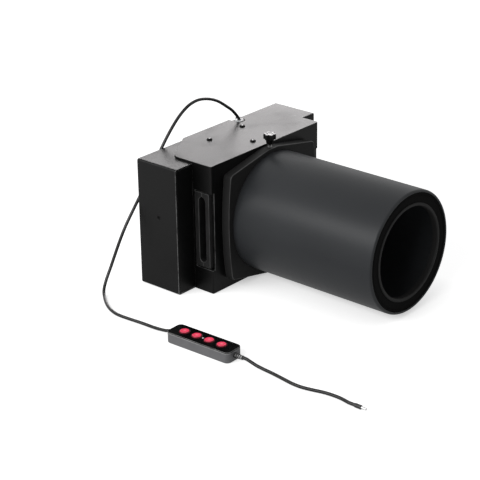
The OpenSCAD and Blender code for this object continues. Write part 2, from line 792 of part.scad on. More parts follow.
// Film stage: one folded sheet, with a notch in each side for the carrier
module stage_shell() color(black_coat) {
    inner_x = stage_w / 2 - stage_sheet_t;
    ear_low_z = carrier_low_z + rail_lip_h + ear_gap;
    ear_high_z = carrier_high_z - rail_lip_h - ear_gap;
    difference() {
        union() {
            linear_extrude(case_h) difference() {
                stage_plan(0);
                stage_plan(stage_sheet_t);
                translate([-inner_x, joint_y - over]) square([2 * inner_x, 2 * over]);
            }
            linear_extrude(stage_sheet_t) stage_plan(stage_sheet_t / 2);
            translate([0, 0, case_h]) linear_extrude(stage_sheet_t) {
                stage_plan(0);
                tongue_plan();
            }
            for (side = [0, 1]) mirror([side, 0, 0])
                block(
                    [inner_x - ear_w, joint_y - stage_sheet_t, ear_low_z],
                    [inner_x + stage_sheet_t / 2, joint_y, ear_high_z]);
        }
        translate([0, 0, axis_z]) bar_y(stage_hole_r, stage_y - over, stage_y + stage_sheet_t + over);
        for (side = [0, 1]) mirror([side, 0, 0])
            block(
                [stage_w / 2 - notch_wrap, stage_y - over, carrier_low_z - notch_gap_below],
                [stage_w / 2 + over, carrier_back_y + carrier_front_gap, carrier_high_z + notch_gap_above]);
        for (x = [-plate_screw_x, plate_screw_x], z = [-plate_screw_z, plate_screw_z])
            translate([x, 0, axis_z + z])
                bar_y(screw_hole_r, stage_y - over, stage_y + stage_sheet_t + over);
        for (x = [-ear_screw_x, ear_screw_x], z = [-ear_screw_z, ear_screw_z])
            translate([x, 0, axis_z + z])
                bar_y(screw_hole_r, joint_y - stage_sheet_t - over, joint_y + over);
        for (x = rear_screw_x) translate([x, rear_screw_y, case_h - over])
            cylinder(r = screw_hole_r, h = stage_sheet_t + 2 * over);
        translate([front_screw_x, front_screw_y, case_h - over])
            cylinder(r = screw_hole_r, h = stage_sheet_t + 2 * over);
        for (x = [-rail_screw_x, rail_screw_x]) translate([x, rail_mid_y, 0]) rotate([180, 0, 0])
            flush_hole(stage_sheet_t + over, flush_head_r, flush_head_h, screw_r);
    }
}

// Three button-head screws on the tongue
module top_screws() color(screw_black) {
    for (x = rear_screw_x) translate([x, rear_screw_y, stage_top_z]) button_screw(tongue_screw_l);
    translate([front_screw_x, front_screw_y, stage_top_z]) button_screw(tongue_screw_l);
}

// Screws that hold the stage's ears, driven from inside the light case
module stage_screws() color(steel) {
    length = sheet_t + stage_sheet_t;
    for (x = [-ear_screw_x, ear_screw_x], z = [-ear_screw_z, ear_screw_z])
        translate([x, panel_back_y, axis_z + z]) rotate([-90, 0, 0]) button_screw(length);
}

// Guide rail: a bar that is hollow towards its seat, with a lip behind the carrier
module guide_rail(h, boss_x) {
    pocket_h = h - rail_wall;
    difference() {
        translate([-rail_l / 2, 0, 0]) rotate([90, 0, 90]) linear_extrude(rail_l) polygon([
            [rail_front_y, 0], [rail_back_y, 0], [rail_back_y, h + rail_lip_h],
            [rail_back_y - rail_lip_t, h + rail_lip_h], [rail_back_y - rail_lip_t, h],
            [rail_front_y, h]]);
        difference() {
            block(
                [-rail_l / 2 + rail_wall, rail_front_y + rail_wall, -over],
                [rail_l / 2 - rail_wall, rail_back_y - rail_lip_t - rail_wall, pocket_h]);
            for (spot = boss_x) translate([spot[0], spot[1], -2 * over])
                cylinder(r = rail_boss_r, h = h + over);
        }
        for (spot = boss_x) translate([spot[0], spot[1], -over])
            cylinder(r = screw_hole_r, h = rail_screw_l + over);
    }
}

module lower_rail() color(black_matte) {
    h = carrier_low_z - rail_gap - stage_sheet_t;
    translate([0, 0, stage_sheet_t])
        guide_rail(h, [[-rail_screw_x, rail_mid_y], [rail_screw_x, rail_mid_y]]);
}

module upper_rail() color(black_matte) {
    h = case_h - carrier_high_z - rail_gap;
    translate([0, 0, case_h]) mirror([0, 0, 1]) guide_rail(h, [[front_screw_x, front_screw_y]]);
}

module rail_screws() color(screw_black) {
    for (x = [-rail_screw_x, rail_screw_x]) translate([x, rail_mid_y, 0]) rotate([180, 0, 0])
        flush_screw(rail_screw_l, flush_head_r, flush_head_h, screw_r);
}

// Film carrier: two halves round a slot that runs right through, parted at the slot's middle
module carrier_bar() {
    mid_y = (carrier_front_y + carrier_back_y) / 2;
    difference() {
        translate([-carrier_l / 2, mid_y, axis_z]) rotate([90, 0, 90]) linear_extrude(carrier_l)
            rounded_rect(carrier_t, carrier_h, carrier_edge_r);
        translate([-carrier_l / 2 - over, slot_mid_y, axis_z]) rotate([90, 0, 90])
            linear_extrude(carrier_l + 2 * over) oblong(slot_t, slot_h);
        translate([0, 0, axis_z]) across_y(carrier_front_y - over, carrier_back_y + over)
            rounded_rect(gate_w, gate_h, carrier_edge_r);
    }
}
module carrier_side(y0, y1) {
    block([-carrier_l, y0, 0], [carrier_l, y1, case_h]);
}

module carrier_base() color(black_matte) {
    difference() {
        intersection() {
            carrier_bar();
            carrier_side(slot_mid_y, carrier_back_y + over);
        }
        for (spot = magnet_spots) translate([spot[0], 0, spot[1]])
            bar_y(magnet_r + magnet_gap, slot_mid_y - over, slot_mid_y + magnet_h + magnet_gap);
    }
}

module carrier_cover() color(black_matte) {
    difference() {
        intersection() {
            carrier_bar();
            carrier_side(carrier_front_y - over, slot_mid_y);
        }
        for (spot = magnet_spots) translate([spot[0], 0, spot[1]])
            bar_y(magnet_r + magnet_gap, slot_mid_y - magnet_h - magnet_gap, slot_mid_y + over);
    }
}

// Grooved strips at the slot's top and foot that keep the film flat
module film_guides() color(screw_black) {
    length = carrier_l - 2 * guide_inset;
    edge_z = film_w / 2 - guide_lap;
    for (side = [0, 1]) translate([0, 0, axis_z]) mirror([0, 0, side]) difference() {
        intersection() {
            translate([-length / 2, slot_mid_y, (slot_h - slot_t) / 2]) rotate([0, 90, 0])
                cylinder(r = slot_t / 2 - guide_gap, h = length);
            block([-length, carrier_front_y, edge_z], [length, carrier_back_y, slot_h]);
        }
        block(
            [-length, slot_mid_y - film_groove_t / 2, 0],
            [length, slot_mid_y + film_groove_t / 2, film_w / 2 + guide_gap]);
    }
}

module carrier_magnets() color(steel) {
    for (spot = magnet_spots) translate([spot[0], 0, spot[1]])
        bar_y(magnet_r, slot_mid_y, slot_mid_y + magnet_h);
}

module carrier_discs() color(steel) {
    for (spot = magnet_spots) translate([spot[0], 0, spot[1]])
        bar_y(magnet_r, slot_mid_y - magnet_h, slot_mid_y);
}

// Quarter of the collar plate's outline, from the middle of its side up to the flat on its top
function plate_quarter() =
    let (
        half_h = plate_side_h / 2,
        bow_r = (half_h * half_h + plate_bow * plate_bow) / (2 * plate_bow),
        bow_angle = asin(half_h / bow_r),
        centre_x = plate_w / 2 + plate_bow - bow_r,
        bow = [for (i = [0:5]) let (a = bow_angle * i / 6)
            [centre_x + bow_r * cos(a), bow_r * sin(a)]],
        corner = [plate_w / 2, half_h],
        flat = [plate_flat_w / 2, plate_h / 2])
    concat(bow, corner_arc(bow[5], corner, flat, plate_corner_r, 6), [flat]);

module plate_outline() {
    quarter = plate_quarter();
    last = len(quarter) - 1;
    polygon(concat(
        quarter,
        [for (i = [last:-1:0]) [-quarter[i][0], quarter[i][1]]],
        [for (i = [1:last]) [-quarter[i][0], -quarter[i][1]]],
        [for (i = [last:-1:1]) [quarter[i][0], -quarter[i][1]]]));
}

// Collar plate on the stage's front: its bore carries the tube
module tube_plate() color(black_matte) {
    difference() {
        translate([0, 0, axis_z]) across_y(plate_y, stage_y) plate_outline();
        translate([0, 0, axis_z]) bar_y(tube_r + tube_fit, plate_y - over, stage_y + over);
        translate([0, clamp_y, axis_z + tube_r - over])
            cylinder(r = clamp_r + clamp_fit, h = plate_h);
        for (x = [-plate_screw_x, plate_screw_x], z = [-plate_screw_z, plate_screw_z])
            translate([x, 0, axis_z + z]) bar_y(screw_hole_r, stage_y - plate_screw_l, stage_y + over);
    }
}

// Screws from inside the stage into the collar plate
module plate_screws() color(steel) {
    for (x = [-plate_screw_x, plate_screw_x], z = [-plate_screw_z, plate_screw_z])
        translate([x, stage_y + stage_sheet_t, axis_z + z]) rotate([-90, 0, 0])
            button_screw(stage_sheet_t + plate_screw_l - screw_gap);
}

// Tube: its back end turns in the collar plate
module tube() color(tube_black) {
    length = stage_y - tube_back_gap - front_y;
    arc = [for (i = [0:8]) let (a = 90 * i / 8)
        [tube_r - tube_edge_r * (1 - cos(a)), length - tube_edge_r * (1 - sin(a))]];
    translate([0, stage_y - tube_back_gap, axis_z]) rotate([90, 0, 0])
        rotate_extrude($fn = 128)
            polygon(concat([[tube_bore_r, 0], [tube_r, 0]], arc, [[tube_bore_r, length]]));
}

// Front cap, pressed into the tube's end, and the ring round its lens hole
module ring_y(outer_r, inner_r, y0, y1) {
    translate([0, 0, axis_z]) difference() {
        bar_y(outer_r, y0, y1);
        bar_y(inner_r, y0 - over, y1 + over);
    }
}

module end_cap() color(screw_black) {
    cap_y = front_y + cap_recess;
    ring_y(tube_bore_r - ring_gap, lens_ring_r + ring_gap, cap_y, cap_y + cap_t);
}

module lens_ring() color(black_matte) {
    ring_y = front_y + cap_recess - lens_ring_proud;
    ring_y(lens_ring_r, lens_hole_r, ring_y, ring_y + lens_ring_l);
}

// Clamp knob: a lobed head on a tapered hub
module clamp_knob() color(black_matte) {
    translate([0, clamp_y, 0]) difference() {
        union() {
            translate([0, 0, knob_low_z])
                cylinder(r1 = knob_hub_r, r2 = knob_d / 2 - knob_lobe_r, h = knob_hub_h);
            translate([0, 0, knob_mid_z]) linear_extrude(knob_h) {
                circle(knob_d / 2 - knob_lobe_r);
                for (i = [0:knob_lobes - 1]) rotate(360 * i / knob_lobes)
                    translate([knob_d / 2 - knob_lobe_r, 0]) circle(knob_lobe_r);
            }
        }
        translate([0, 0, knob_low_z - over])
            cylinder(r = clamp_r + ring_gap, h = stem_top_z - knob_low_z + over + ring_gap);
    }
}

// Threaded stud in the knob, with a spigot that turns in the pad
module clamp_stem() color("silver") {
    translate([0, clamp_y, 0]) {
        translate([0, 0, pad_top_z + stem_gap])
            cylinder(r = clamp_r, h = stem_top_z - pad_top_z - stem_gap);
        translate([0, 0, pad_top_z - pad_spigot_h + stem_gap])
            cylinder(r = pad_spigot_r, h = pad_spigot_h);
    }
}

// Soft pad that the screw presses on the tube
module clamp_pad() color("ivory") {
    translate([0, clamp_y, 0]) difference() {
        translate([0, 0, pad_bottom_z]) cylinder(r = clamp_r, h = pad_h);
        translate([0, 0, pad_top_z - pad_spigot_h])
            cylinder(r = pad_spigot_r + clamp_fit, h = pad_spigot_h + over);
    }
}

module cord_a() color(screw_black) {
    swept_tube(smooth(cord_a_points, cord_r), cord_r, cord_sides);
}

module cord_b() color(screw_black) {
    swept_tube(smooth(cord_b_points, cord_r), cord_r, cord_sides);
}

// Puts a piece of the remote in its place on the floor; the remote's length runs along Y
module in_remote() {
    translate([remote_x, remote_y, 0]) rotate([0, 0, remote_turn]) children();
}

// Lower shell of the remote, with posts under its board
module remote_base() color(remote_grey) {
    in_remote() {
        difference() {
            linear_extrude(remote_lid_z) rounded_rect(remote_w, remote_l, remote_corner_r);
            translate([0, 0, remote_wall]) linear_extrude(remote_lid_z)
                rounded_rect(
                    remote_w - 2 * remote_wall, remote_l - 2 * remote_wall,
                    remote_corner_r - remote_wall);
            translate([0, 0, remote_axis_z])
                bar_y(relief_neck_r + relief_neck_gap, -remote_l, remote_l);
        }
        post_x = remote_board_w / 2 - post_r;
        post_y = remote_board_l / 2 - post_inset;
        for (x = [-post_x, post_x], y = [-post_y, post_y])
            translate([x, y, remote_wall / 2]) cylinder(r = post_r, h = post_h + remote_wall / 2);
    }
}

module remote_lid() color(screw_black) {
    in_remote() translate([0, 0, remote_lid_z]) linear_extrude(remote_lid_t) difference() {
        rounded_rect(remote_w, remote_l, remote_corner_r);
        for (place = button_places) translate(place) circle(button_r + button_gap);
        translate(light_place) circle(light_r + light_gap);
    }
}

module remote_board() color(board_green) {
    in_remote() translate([0, 0, remote_board_z]) linear_extrude(remote_board_t)
        square([remote_board_w, remote_board_l], center = true);
}

module dome_switches() color("dimgray") {
    in_remote() for (place = button_places) translate([place[0], place[1], remote_board_top_z]) {
        linear_extrude(dome_h) square(dome_side, center = true);
        cylinder(r = dome_plunger_r, h = dome_h + dome_plunger_h);
    }
}

// Push button: a cap with a flange that the lid keeps in, over its switch
module push_button(i) {
    top_z = remote_h + button_proud;
    stem_z = dome_top_z + button_travel + button_press_gap;
    flange_r = button_r + button_gap + button_flange_w;
    arc = [for (k = [0:4]) let (a = 90 * k / 4)
        [button_r - button_edge_r * (1 - cos(a)), top_z - button_edge_r * (1 - sin(a))]];
    color(button_red) in_remote() translate(button_places[i]) rotate_extrude()
        polygon(concat([
            [0, stem_z], [button_stem_r, stem_z], [button_stem_r, button_flange_z],
            [flange_r, button_flange_z], [flange_r, button_flange_z + button_flange_h],
            [button_r, button_flange_z + button_flange_h]], arc, [[0, top_z]]));
}
module button_1() push_button(0);
module button_2() push_button(1);
module button_3() push_button(2);
module button_4() push_button(3);

module status_light() color("white") {
    in_remote() translate([light_place[0], light_place[1], remote_board_top_z])
        cylinder(r = light_r, h = remote_h + light_proud - remote_board_top_z);
}

// Ribbed strain relief, with a neck through the remote's end wall and a flange inside
module relief(length) {
    wall_y = remote_l / 2;
    count = floor((length - relief_tip_l) / relief_rib_l);
    rib_l = (length - relief_tip_l) / count;
    ribs = [for (i = [0:count - 1])
        let (
            y0 = wall_y + i * rib_l,
            r = relief_r + (relief_tip_r - relief_r) * i / (count - 1))
        each [
            [r, y0], [r, y0 + rib_l * relief_rib_share],
            [relief_neck_r, y0 + rib_l * relief_rib_share], [relief_neck_r, y0 + rib_l]]];
    translate([0, 0, remote_axis_z]) rotate([-90, 0, 0]) rotate_extrude() polygon(concat([
        [0, wall_y - remote_wall - relief_flange_t],
        [relief_flange_r, wall_y - remote_wall - relief_flange_t],
        [relief_flange_r, wall_y - remote_wall], [relief_neck_r, wall_y - remote_wall],
        [relief_neck_r, wall_y]], ribs, [
        [relief_tip_r, wall_y + length - relief_tip_l], [relief_tip_r, wall_y + length],
        [0, wall_y + length]]));
}
module relief_in() color(screw_black) in_remote() relief(relief_in_l);
module relief_out() color(screw_black) in_remote() mirror([0, 1, 0]) relief(relief_out_l);

// Plug: a slim sleeve that tapers towards the cord, and its pin
module plug_sleeve() color(screw_black) {
    translate([plug_x, plug_y, plug_d / 2]) rotate([90, 0, 0]) rotate_extrude() polygon([
        [0, 0], [cord_r, 0], [plug_d / 2, plug_taper_l], [plug_d / 2, plug_sleeve_l],
        [0, plug_sleeve_l]]);
}

module plug_pin() color("silver") {
    translate([plug_x, plug_y - plug_sleeve_l, plug_d / 2]) rotate([90, 0, 0])
        cylinder(r = pin_d / 2, h = pin_l);
}

case_tray();
window_panel();
frame_brackets();
side_screws();
heat_plate();
heat_spacers();
back_screws();
led_board();
led_chips();
reflector_box();
diffuser();
driver_board();
driver_parts();
inner_lead();
cable_gland();
gland_nut();
case_nuts();
stage_shell();
top_screws();
stage_screws();
upper_rail();
lower_rail();
rail_screws();
carrier_base();
carrier_cover();
film_guides();
carrier_magnets();
carrier_discs();
tube_plate();
plate_screws();
tube();
end_cap();
lens_ring();
clamp_knob();
clamp_stem();
clamp_pad();
cord_a();
cord_b();
remote_base();
remote_lid();
remote_board();
dome_switches();
button_1();
button_2();
button_3();
button_4();
status_light();
relief_in();
relief_out();
plug_sleeve();
plug_pin();
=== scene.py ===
import json
import math
import bmesh
import bpy
from mathutils import Matrix, Quaternion, Vector

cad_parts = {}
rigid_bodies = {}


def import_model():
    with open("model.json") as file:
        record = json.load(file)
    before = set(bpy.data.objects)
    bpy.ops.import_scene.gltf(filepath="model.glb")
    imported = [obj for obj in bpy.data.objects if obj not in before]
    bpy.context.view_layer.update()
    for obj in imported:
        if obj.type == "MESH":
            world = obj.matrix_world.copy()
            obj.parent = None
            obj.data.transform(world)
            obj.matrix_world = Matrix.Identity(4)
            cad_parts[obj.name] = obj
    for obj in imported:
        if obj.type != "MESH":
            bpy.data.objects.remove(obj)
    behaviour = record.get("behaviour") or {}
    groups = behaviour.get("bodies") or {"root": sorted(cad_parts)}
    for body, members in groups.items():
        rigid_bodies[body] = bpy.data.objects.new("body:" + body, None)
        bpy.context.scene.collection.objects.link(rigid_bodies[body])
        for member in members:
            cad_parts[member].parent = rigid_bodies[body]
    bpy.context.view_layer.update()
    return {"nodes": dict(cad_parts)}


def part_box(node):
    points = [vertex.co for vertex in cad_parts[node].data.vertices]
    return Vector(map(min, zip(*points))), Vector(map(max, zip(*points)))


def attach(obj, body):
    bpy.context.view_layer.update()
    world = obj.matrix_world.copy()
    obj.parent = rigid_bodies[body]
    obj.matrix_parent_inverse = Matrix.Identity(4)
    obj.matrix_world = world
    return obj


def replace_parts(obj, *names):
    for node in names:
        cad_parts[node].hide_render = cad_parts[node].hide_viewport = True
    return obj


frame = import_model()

nodes = frame["nodes"]

# The camera stands to the left of the tube's mouth and a little above the object, as for the
# photograph, with a narrow view and the slight tilt of a hand-held shot.
shot_from = Vector((-1.16107, -0.94282, 0.69717))
shot_at = Vector((-0.013, 0.071, 0.02686))
shot_tilt = math.radians(-0.96)
shot = bpy.data.cameras.new("shot")
shot.lens = 130.65
shot.sensor_width = 36
shot.clip_start, shot.clip_end = 0.05, 60
camera = bpy.data.objects.new("shot", shot)
bpy.context.scene.collection.objects.link(camera)
camera.rotation_mode = "QUATERNION"
camera.location = shot_from
facing = (shot_at - shot_from).to_track_quat("-Z", "Y")
camera.rotation_quaternion = facing @ Quaternion((0, 0, 1), shot_tilt)
bpy.context.scene.camera = camera
bpy.context.scene.view_settings.view_transform = "Standard"


# Cord: a thin round PVC lead, smooth and a little glossy. It leaves the gland on the case's top,
# arches over behind the case to the table, passes through the remote and ends in a slim plug.
class Signal:
    """A socket of a node tree. Arithmetic on it adds Math nodes to the tree."""

    def __init__(self, tree, socket=None):
        self.tree, self.socket = tree, socket

    def node(self, kind, settings=(), inputs=(), out=0):
        """Adds a node, with its settings first and then the values or links of its sockets."""
        made = self.tree.nodes.new(kind)
        for name, value in dict(settings).items():
            if name == "stops":
                ramp = made.color_ramp
                ramp.elements[0].position = value[0][0]
                ramp.elements[-1].position = value[-1][0]
                for place, _ in value[1:-1]:
                    ramp.elements.new(place)
                for element, (_, tone) in zip(ramp.elements, value):
                    element.color = (*tone, 1) if len(tone) == 3 else tone
            else:
                setattr(made, name, value)
        for name, value in dict(inputs).items():
            if isinstance(value, Signal):
                self.tree.links.new(value.socket, made.inputs[name])
            else:
                made.inputs[name].default_value = value
        return Signal(self.tree, made.outputs[out])

    def math(self, operation, a, b=0.0):
        return self.node("ShaderNodeMath", {"operation": operation}, {0: a, 1: b})

    def __add__(self, other):
        return self.math("ADD", self, other)

    def __sub__(self, other):
        return self.math("SUBTRACT", self, other)

    def __rsub__(self, other):
        return self.math("SUBTRACT", other, self)

    def __mul__(self, other):
        return self.math("MULTIPLY", self, other)

    __radd__ = __add__
    __rmul__ = __mul__

    def above(self, edge):
        return self.math("GREATER_THAN", self, edge)


class Finish:
    """A material under way: its tree, its shader, and the patterns that its surfaces show."""

    def __init__(self, name, **shader):
        self.material = bpy.data.materials.new(name)
        self.material.use_nodes = True
        self.tree = self.material.node_tree
        self.shader = self.tree.nodes["Principled BSDF"]
        for socket, value in shader.items():
            self.shader.inputs[socket.replace("_", " ")].default_value = value
        self.start = Signal(self.tree)
        self.place = self.start.node("ShaderNodeTexCoord", out="Object")

    def stretched(self, scale):
        return self.start.node("ShaderNodeMapping", {}, {"Vector": self.place, "Scale": scale})

    def noise(self, scale, detail=2.0, place=None):
        return self.start.node("ShaderNodeTexNoise", {}, {
            "Vector": place or self.place, "Scale": scale, "Detail": detail})

    def cells(self, scale):
        return self.start.node(
            "ShaderNodeTexVoronoi", {}, {"Vector": self.place, "Scale": scale})

    def ramp(self, signal, *stops):
        return self.start.node("ShaderNodeValToRGB", {"stops": stops}, {0: signal})

    def mix(self, share, a, b):
        return self.start.node(
            "ShaderNodeMix", {"data_type": "RGBA"}, {0: share, 6: a, 7: b}, out=2)

    def feed(self, **signals):
        for socket, signal in signals.items():
            self.tree.links.new(signal.socket, self.shader.inputs[socket.replace("_", " ")])
        return self

    def bumps(self, height, distance):
        return self.feed(Normal=self.start.node(
            "ShaderNodeBump", {}, {"Height": height, "Distance": distance}))


def shade(tone, gain=1.0):
    """A grey or a colour as the shader's four numbers."""
    rgb = (tone, tone, tone) if isinstance(tone, float) else tone
    return (*[channel * gain for channel in rgb], 1)


def moulded(name, low, high, grain, rough, relief=0.00003, **shader):
    """Plastic or rubber: a fine texture from the mould, and a faint unevenness of colour."""
    finish = Finish(name, **shader)
    cloud = finish.noise(grain / 18, 3)
    fine = finish.noise(grain, 2)
    finish.feed(
        Base_Color=finish.ramp(cloud, (0.3, shade(low)), (0.7, shade(high))),
        Roughness=rough + (cloud - 0.5) * 0.16 + (fine - 0.5) * 0.1)
    return finish.bumps(fine, relief)


cord_finish = moulded(
    "cord", low=0.005, high=0.015, grain=1500, rough=0.32, relief=0.00001,
    Specular_IOR_Level=0.28, Coat_Weight=0.1)
cord_d = 0.003
lying = cord_d / 2  # the height of its middle where it lies on the table
remote_place, remote_turn = Vector((-0.166, -0.0198, 0)), math.radians(1.8)
remote_l, remote_h = 0.071, 0.0105
remote_axis_z = remote_h / 2
relief_in_l, relief_out_l = 0.005, 0.009
relief_in_end, relief_out_end = remote_l / 2 + relief_in_l, remote_l / 2 + relief_out_l
gland_top = (0.0335, 0.1105, 0.1278)
plug_at = (-0.1644, -0.1835, 0.0019)


def at_remote(y, z):
    """A point on the remote's middle plane, in the object's frame."""
    return (
        remote_place.x - y * math.sin(remote_turn), remote_place.y + y * math.cos(remote_turn), z)


def flowing(route, times=3):
    """A route with points added midway on its curve, none of them below the table."""
    points = [Vector(point) for point in route]
    for _ in range(times):
        dense = []
        for i, point in enumerate(points):
            dense.append(point)
            if i < len(points) - 1:
                before, after = points[max(i - 1, 0)], points[min(i + 2, len(points) - 1)]
                middle = (point + points[i + 1]) * (9 / 16) - (before + after) / 16
                middle.z = max(middle.z, lying)
                dense.append(middle)
        points = dense
    return points


def cord(name, route):
    line = bpy.data.curves.new(name, "CURVE")
    line.dimensions = "3D"
    line.bevel_depth = cord_d / 2
    line.bevel_resolution = 5
    line.use_fill_caps = True
    points = flowing(route)
    spline = line.splines.new("POLY")
    spline.points.add(len(points) - 1)
    for knot, point in zip(spline.points, points):
        knot.co = (*point, 1)
    line.materials.append(cord_finish.material)
    piece = bpy.data.objects.new(name, line)
    bpy.context.scene.collection.objects.link(piece)
    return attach(piece, "adapter")


upper_route = [
    gland_top, (0.0305, 0.1105, 0.132), (0.024, 0.111, 0.1395), (0.0145, 0.1115, 0.147),
    (0.0045, 0.112, 0.154), (-0.007, 0.113, 0.159), (-0.0195, 0.114, 0.1613),
    (-0.0305, 0.1155, 0.1592), (-0.039, 0.117, 0.154), (-0.0465, 0.1185, 0.147),
    (-0.0545, 0.12, 0.1375), (-0.062, 0.1215, 0.127), (-0.0705, 0.1225, 0.115),
    (-0.079, 0.123, 0.103), (-0.087, 0.1235, 0.092), (-0.095, 0.124, 0.082),
    (-0.1035, 0.1245, 0.0715), (-0.111, 0.1255, 0.061), (-0.1175, 0.127, 0.049),
    (-0.1235, 0.1285, 0.036), (-0.1295, 0.1295, 0.0235), (-0.136, 0.1295, 0.013),
    (-0.1425, 0.127, 0.005), (-0.149, 0.12, lying), (-0.157, 0.1095, lying),
    (-0.1635, 0.098, lying), (-0.167, 0.086, lying), (-0.167, 0.0735, lying),
    (-0.166, 0.06, lying), (-0.1655, 0.047, lying), (-0.1662, 0.036, 0.0024),
    at_remote(relief_in_end + 0.004, remote_axis_z - 0.0008),
    at_remote(relief_in_end, remote_axis_z), at_remote(relief_in_end - 0.012, 0.00495),
    at_remote(relief_in_end - 0.025, 0.00465)]
lower_route = [
    at_remote(-relief_out_end, remote_axis_z), at_remote(-relief_out_end - 0.004, remote_axis_z),
    (-0.164, -0.078, 0.0026), (-0.164, -0.089, lying), (-0.165, -0.0995, lying),
    (-0.1665, -0.11, lying), (-0.168, -0.121, lying), (-0.168, -0.131, lying),
    (-0.166, -0.141, lying), (-0.1635, -0.1505, lying), (-0.1623, -0.16, lying),
    (-0.1627, -0.1695, 0.0017), (-0.1644, -0.178, 0.0019), plug_at]
upper_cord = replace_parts(cord("cord_from_case", upper_route), "cord_a")
lower_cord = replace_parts(cord("cord_to_plug", lower_route), "cord_b")


# Light case: a folded steel tray with a panel in its mouth, and the film stage in front of it,
# both in a fine black satin powder coat. Folding rounds their edges, and the coat softens them.
def settle(piece, body, node, finish=None):
    """Says where a finished piece belongs, and gives it its material if it has none yet."""
    if finish is not None:
        piece.data.materials.clear()
        piece.data.materials.append(finish.material)
    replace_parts(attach(piece, body), node)


def plain(piece):
    """The piece's mesh as its modifiers leave it, on an object with none."""
    graph = bpy.context.evaluated_depsgraph_get()
    mesh = bpy.data.meshes.new_from_object(
        piece.evaluated_get(graph), preserve_all_data_layers=True, depsgraph=graph)
    name, old = piece.name, piece.data
    bpy.data.objects.remove(piece)
    bpy.data.meshes.remove(old)
    mesh.name = name
    made = bpy.data.objects.new(name, mesh)
    bpy.context.scene.collection.objects.link(made)
    return made


def dressed(name, node, finish, body, edge, steps=2, paler_tone=None, holes=()):
    """A piece with a node's own shape, its sharp edges rounded off and given a paler edge finish,
    partly wear and partly a painted highlight, but not its holes'.
    """
    hole_edge = 0.004
    mesh = nodes[node].data.copy()
    shell = bmesh.new()
    shell.from_mesh(mesh)
    bmesh.ops.remove_doubles(shell, verts=shell.verts, dist=1e-6)
    bmesh.ops.dissolve_limit(
        shell, angle_limit=math.radians(0.5), verts=shell.verts, edges=shell.edges)
    shell.to_mesh(mesh)
    shell.free()
    mesh.shade_smooth()
    piece = bpy.data.objects.new(name, mesh)
    bpy.context.scene.collection.objects.link(piece)
    rounding = piece.modifiers.new("rounding", "BEVEL")
    rounding.width, rounding.segments = edge, steps
    rounding.limit_method, rounding.angle_limit = "ANGLE", math.radians(38)
    rounding.use_clamp_overlap = False
    rounding.miter_outer = "MITER_ARC"
    # the rounded faces take the paler edge finish: partly wear, partly a painted highlight along
    # each edge
    rounding.material = 1 if paler_tone else 0
    flat = piece.modifiers.new("flat", "WEIGHTED_NORMAL")
    flat.weight = 90
    mesh.materials.clear()
    mesh.materials.append(finish.material)
    mesh.materials.append((paler_tone or finish).material)
    made = plain(piece)
    # faces round the screw holes keep the plain finish, without the painted edge highlight
    for face in made.data.polygons:
        if any((face.center - Vector(hole)).length < hole_edge for hole in holes):
            face.material_index = 0
    settle(made, body, node)


def powder(name, low, high, rough, **shader):
    """Powder coat: a fine orange peel, faint clouds, and a few smudges that dull the sheen."""
    coat = Finish(name, **shader)
    cloud = coat.noise(14, 3)
    smudge = coat.ramp(coat.noise(38, 4), (0.52, shade(0.0)), (0.74, shade(1.0)))
    peel = coat.noise(1700, 2)
    speck = coat.cells(900)
    coat.feed(
        Base_Color=coat.ramp(cloud + (peel - 0.5) * 0.3, (0.25, shade(low)), (0.75, shade(high))),
        Roughness=rough + (cloud - 0.5) * 0.08 + smudge * 0.05 + (speck - 0.5) * 0.04)
    return coat.bumps(peel + speck * 0.4, 0.00003)


def edge_wear_and_sheen(name, low, high, rough):
    """An edge finish, paler and smoother in uneven lengths: partly a coat worn thin, partly a
    painted highlight along the rounded edge.
    """
    edge = Finish(name)
    patch = edge.noise(120, 3)
    edge.feed(
        Base_Color=edge.ramp(patch, (0.35, shade(low)), (0.65, shade(high))),
        Roughness=rough + (patch - 0.5) * 0.2)
    return edge.bumps(edge.noise(1800, 2), 0.00002)


case_half_w, case_back_y, case_top, tongue_top = 0.1, 0.119, 0.125, 0.127
side_screw_y, side_screw_z = 0.09404, 0.0725
back_screw_x, back_screw_low_z, back_screw_high_z = 0.083, 0.0205, 0.1045
case_side_spots = [
    ((side * case_half_w, side_screw_y, side_screw_z), (side, 0, 0)) for side in (-1, 1)]
case_back_spots = [
    ((x, case_back_y, z), (0, 1, 0)) for x in (-back_screw_x, back_screw_x)
    for z in (back_screw_low_z, back_screw_high_z)]
case_coat = powder("case_coat", low=0.0011, high=0.0021, rough=0.37, Specular_IOR_Level=0.19)
# the stage's coat is a darker copy of the case's: painted shade on the stage's sides, which sit
# back in the case's notch
stage_coat = powder("stage_coat", low=0.0007, high=0.0015, rough=0.37, Specular_IOR_Level=0.19)
# paler edge finishes: partly a coat worn thin, partly painted highlights along the rounded edges
coat_edge = edge_wear_and_sheen("coat_edge", low=0.05, high=0.22, rough=0.3)
fold_edge = edge_wear_and_sheen("fold_edge", low=0.02, high=0.1, rough=0.3)
dressed(
    "case_body", "case_tray", case_coat, "adapter", edge=0.0004, paler_tone=coat_edge,
    holes=[place for place, _ in case_side_spots + case_back_spots])
dressed("case_panel", "window_panel", case_coat, "adapter", edge=0.0002)
dressed(
    "film_stage", "stage_shell", stage_coat, "adapter", edge=0.0003, paler_tone=fold_edge)


# Screws: black-oxide steel, with a hexagon socket. Button heads hold the stage's tongue; flush
# heads sit level with the case's sides and back and with the stage's foot.
def filleted(corners, steps):
    """A turned profile: each corner is (radius, height, rounding)."""
    outline = []
    for i, (r, z, rounding) in enumerate(corners):
        corner = Vector((r, z))
        if not rounding:
            outline.append(corner)
            continue
        before = Vector(corners[i - 1][:2]) - corner
        after = Vector(corners[(i + 1) % len(corners)][:2]) - corner
        half = before.angle(after) / 2
        reach = rounding / math.tan(half)
        middle = corner + (before.normalized() + after.normalized()).normalized() * (
            rounding / math.sin(half))
        first = corner + before.normalized() * reach - middle
        last = corner + after.normalized() * reach - middle
        for step in range(steps + 1):
            swept = first.normalized().slerp(last.normalized(), step / steps)
            outline.append(middle + swept * rounding)
    return outline


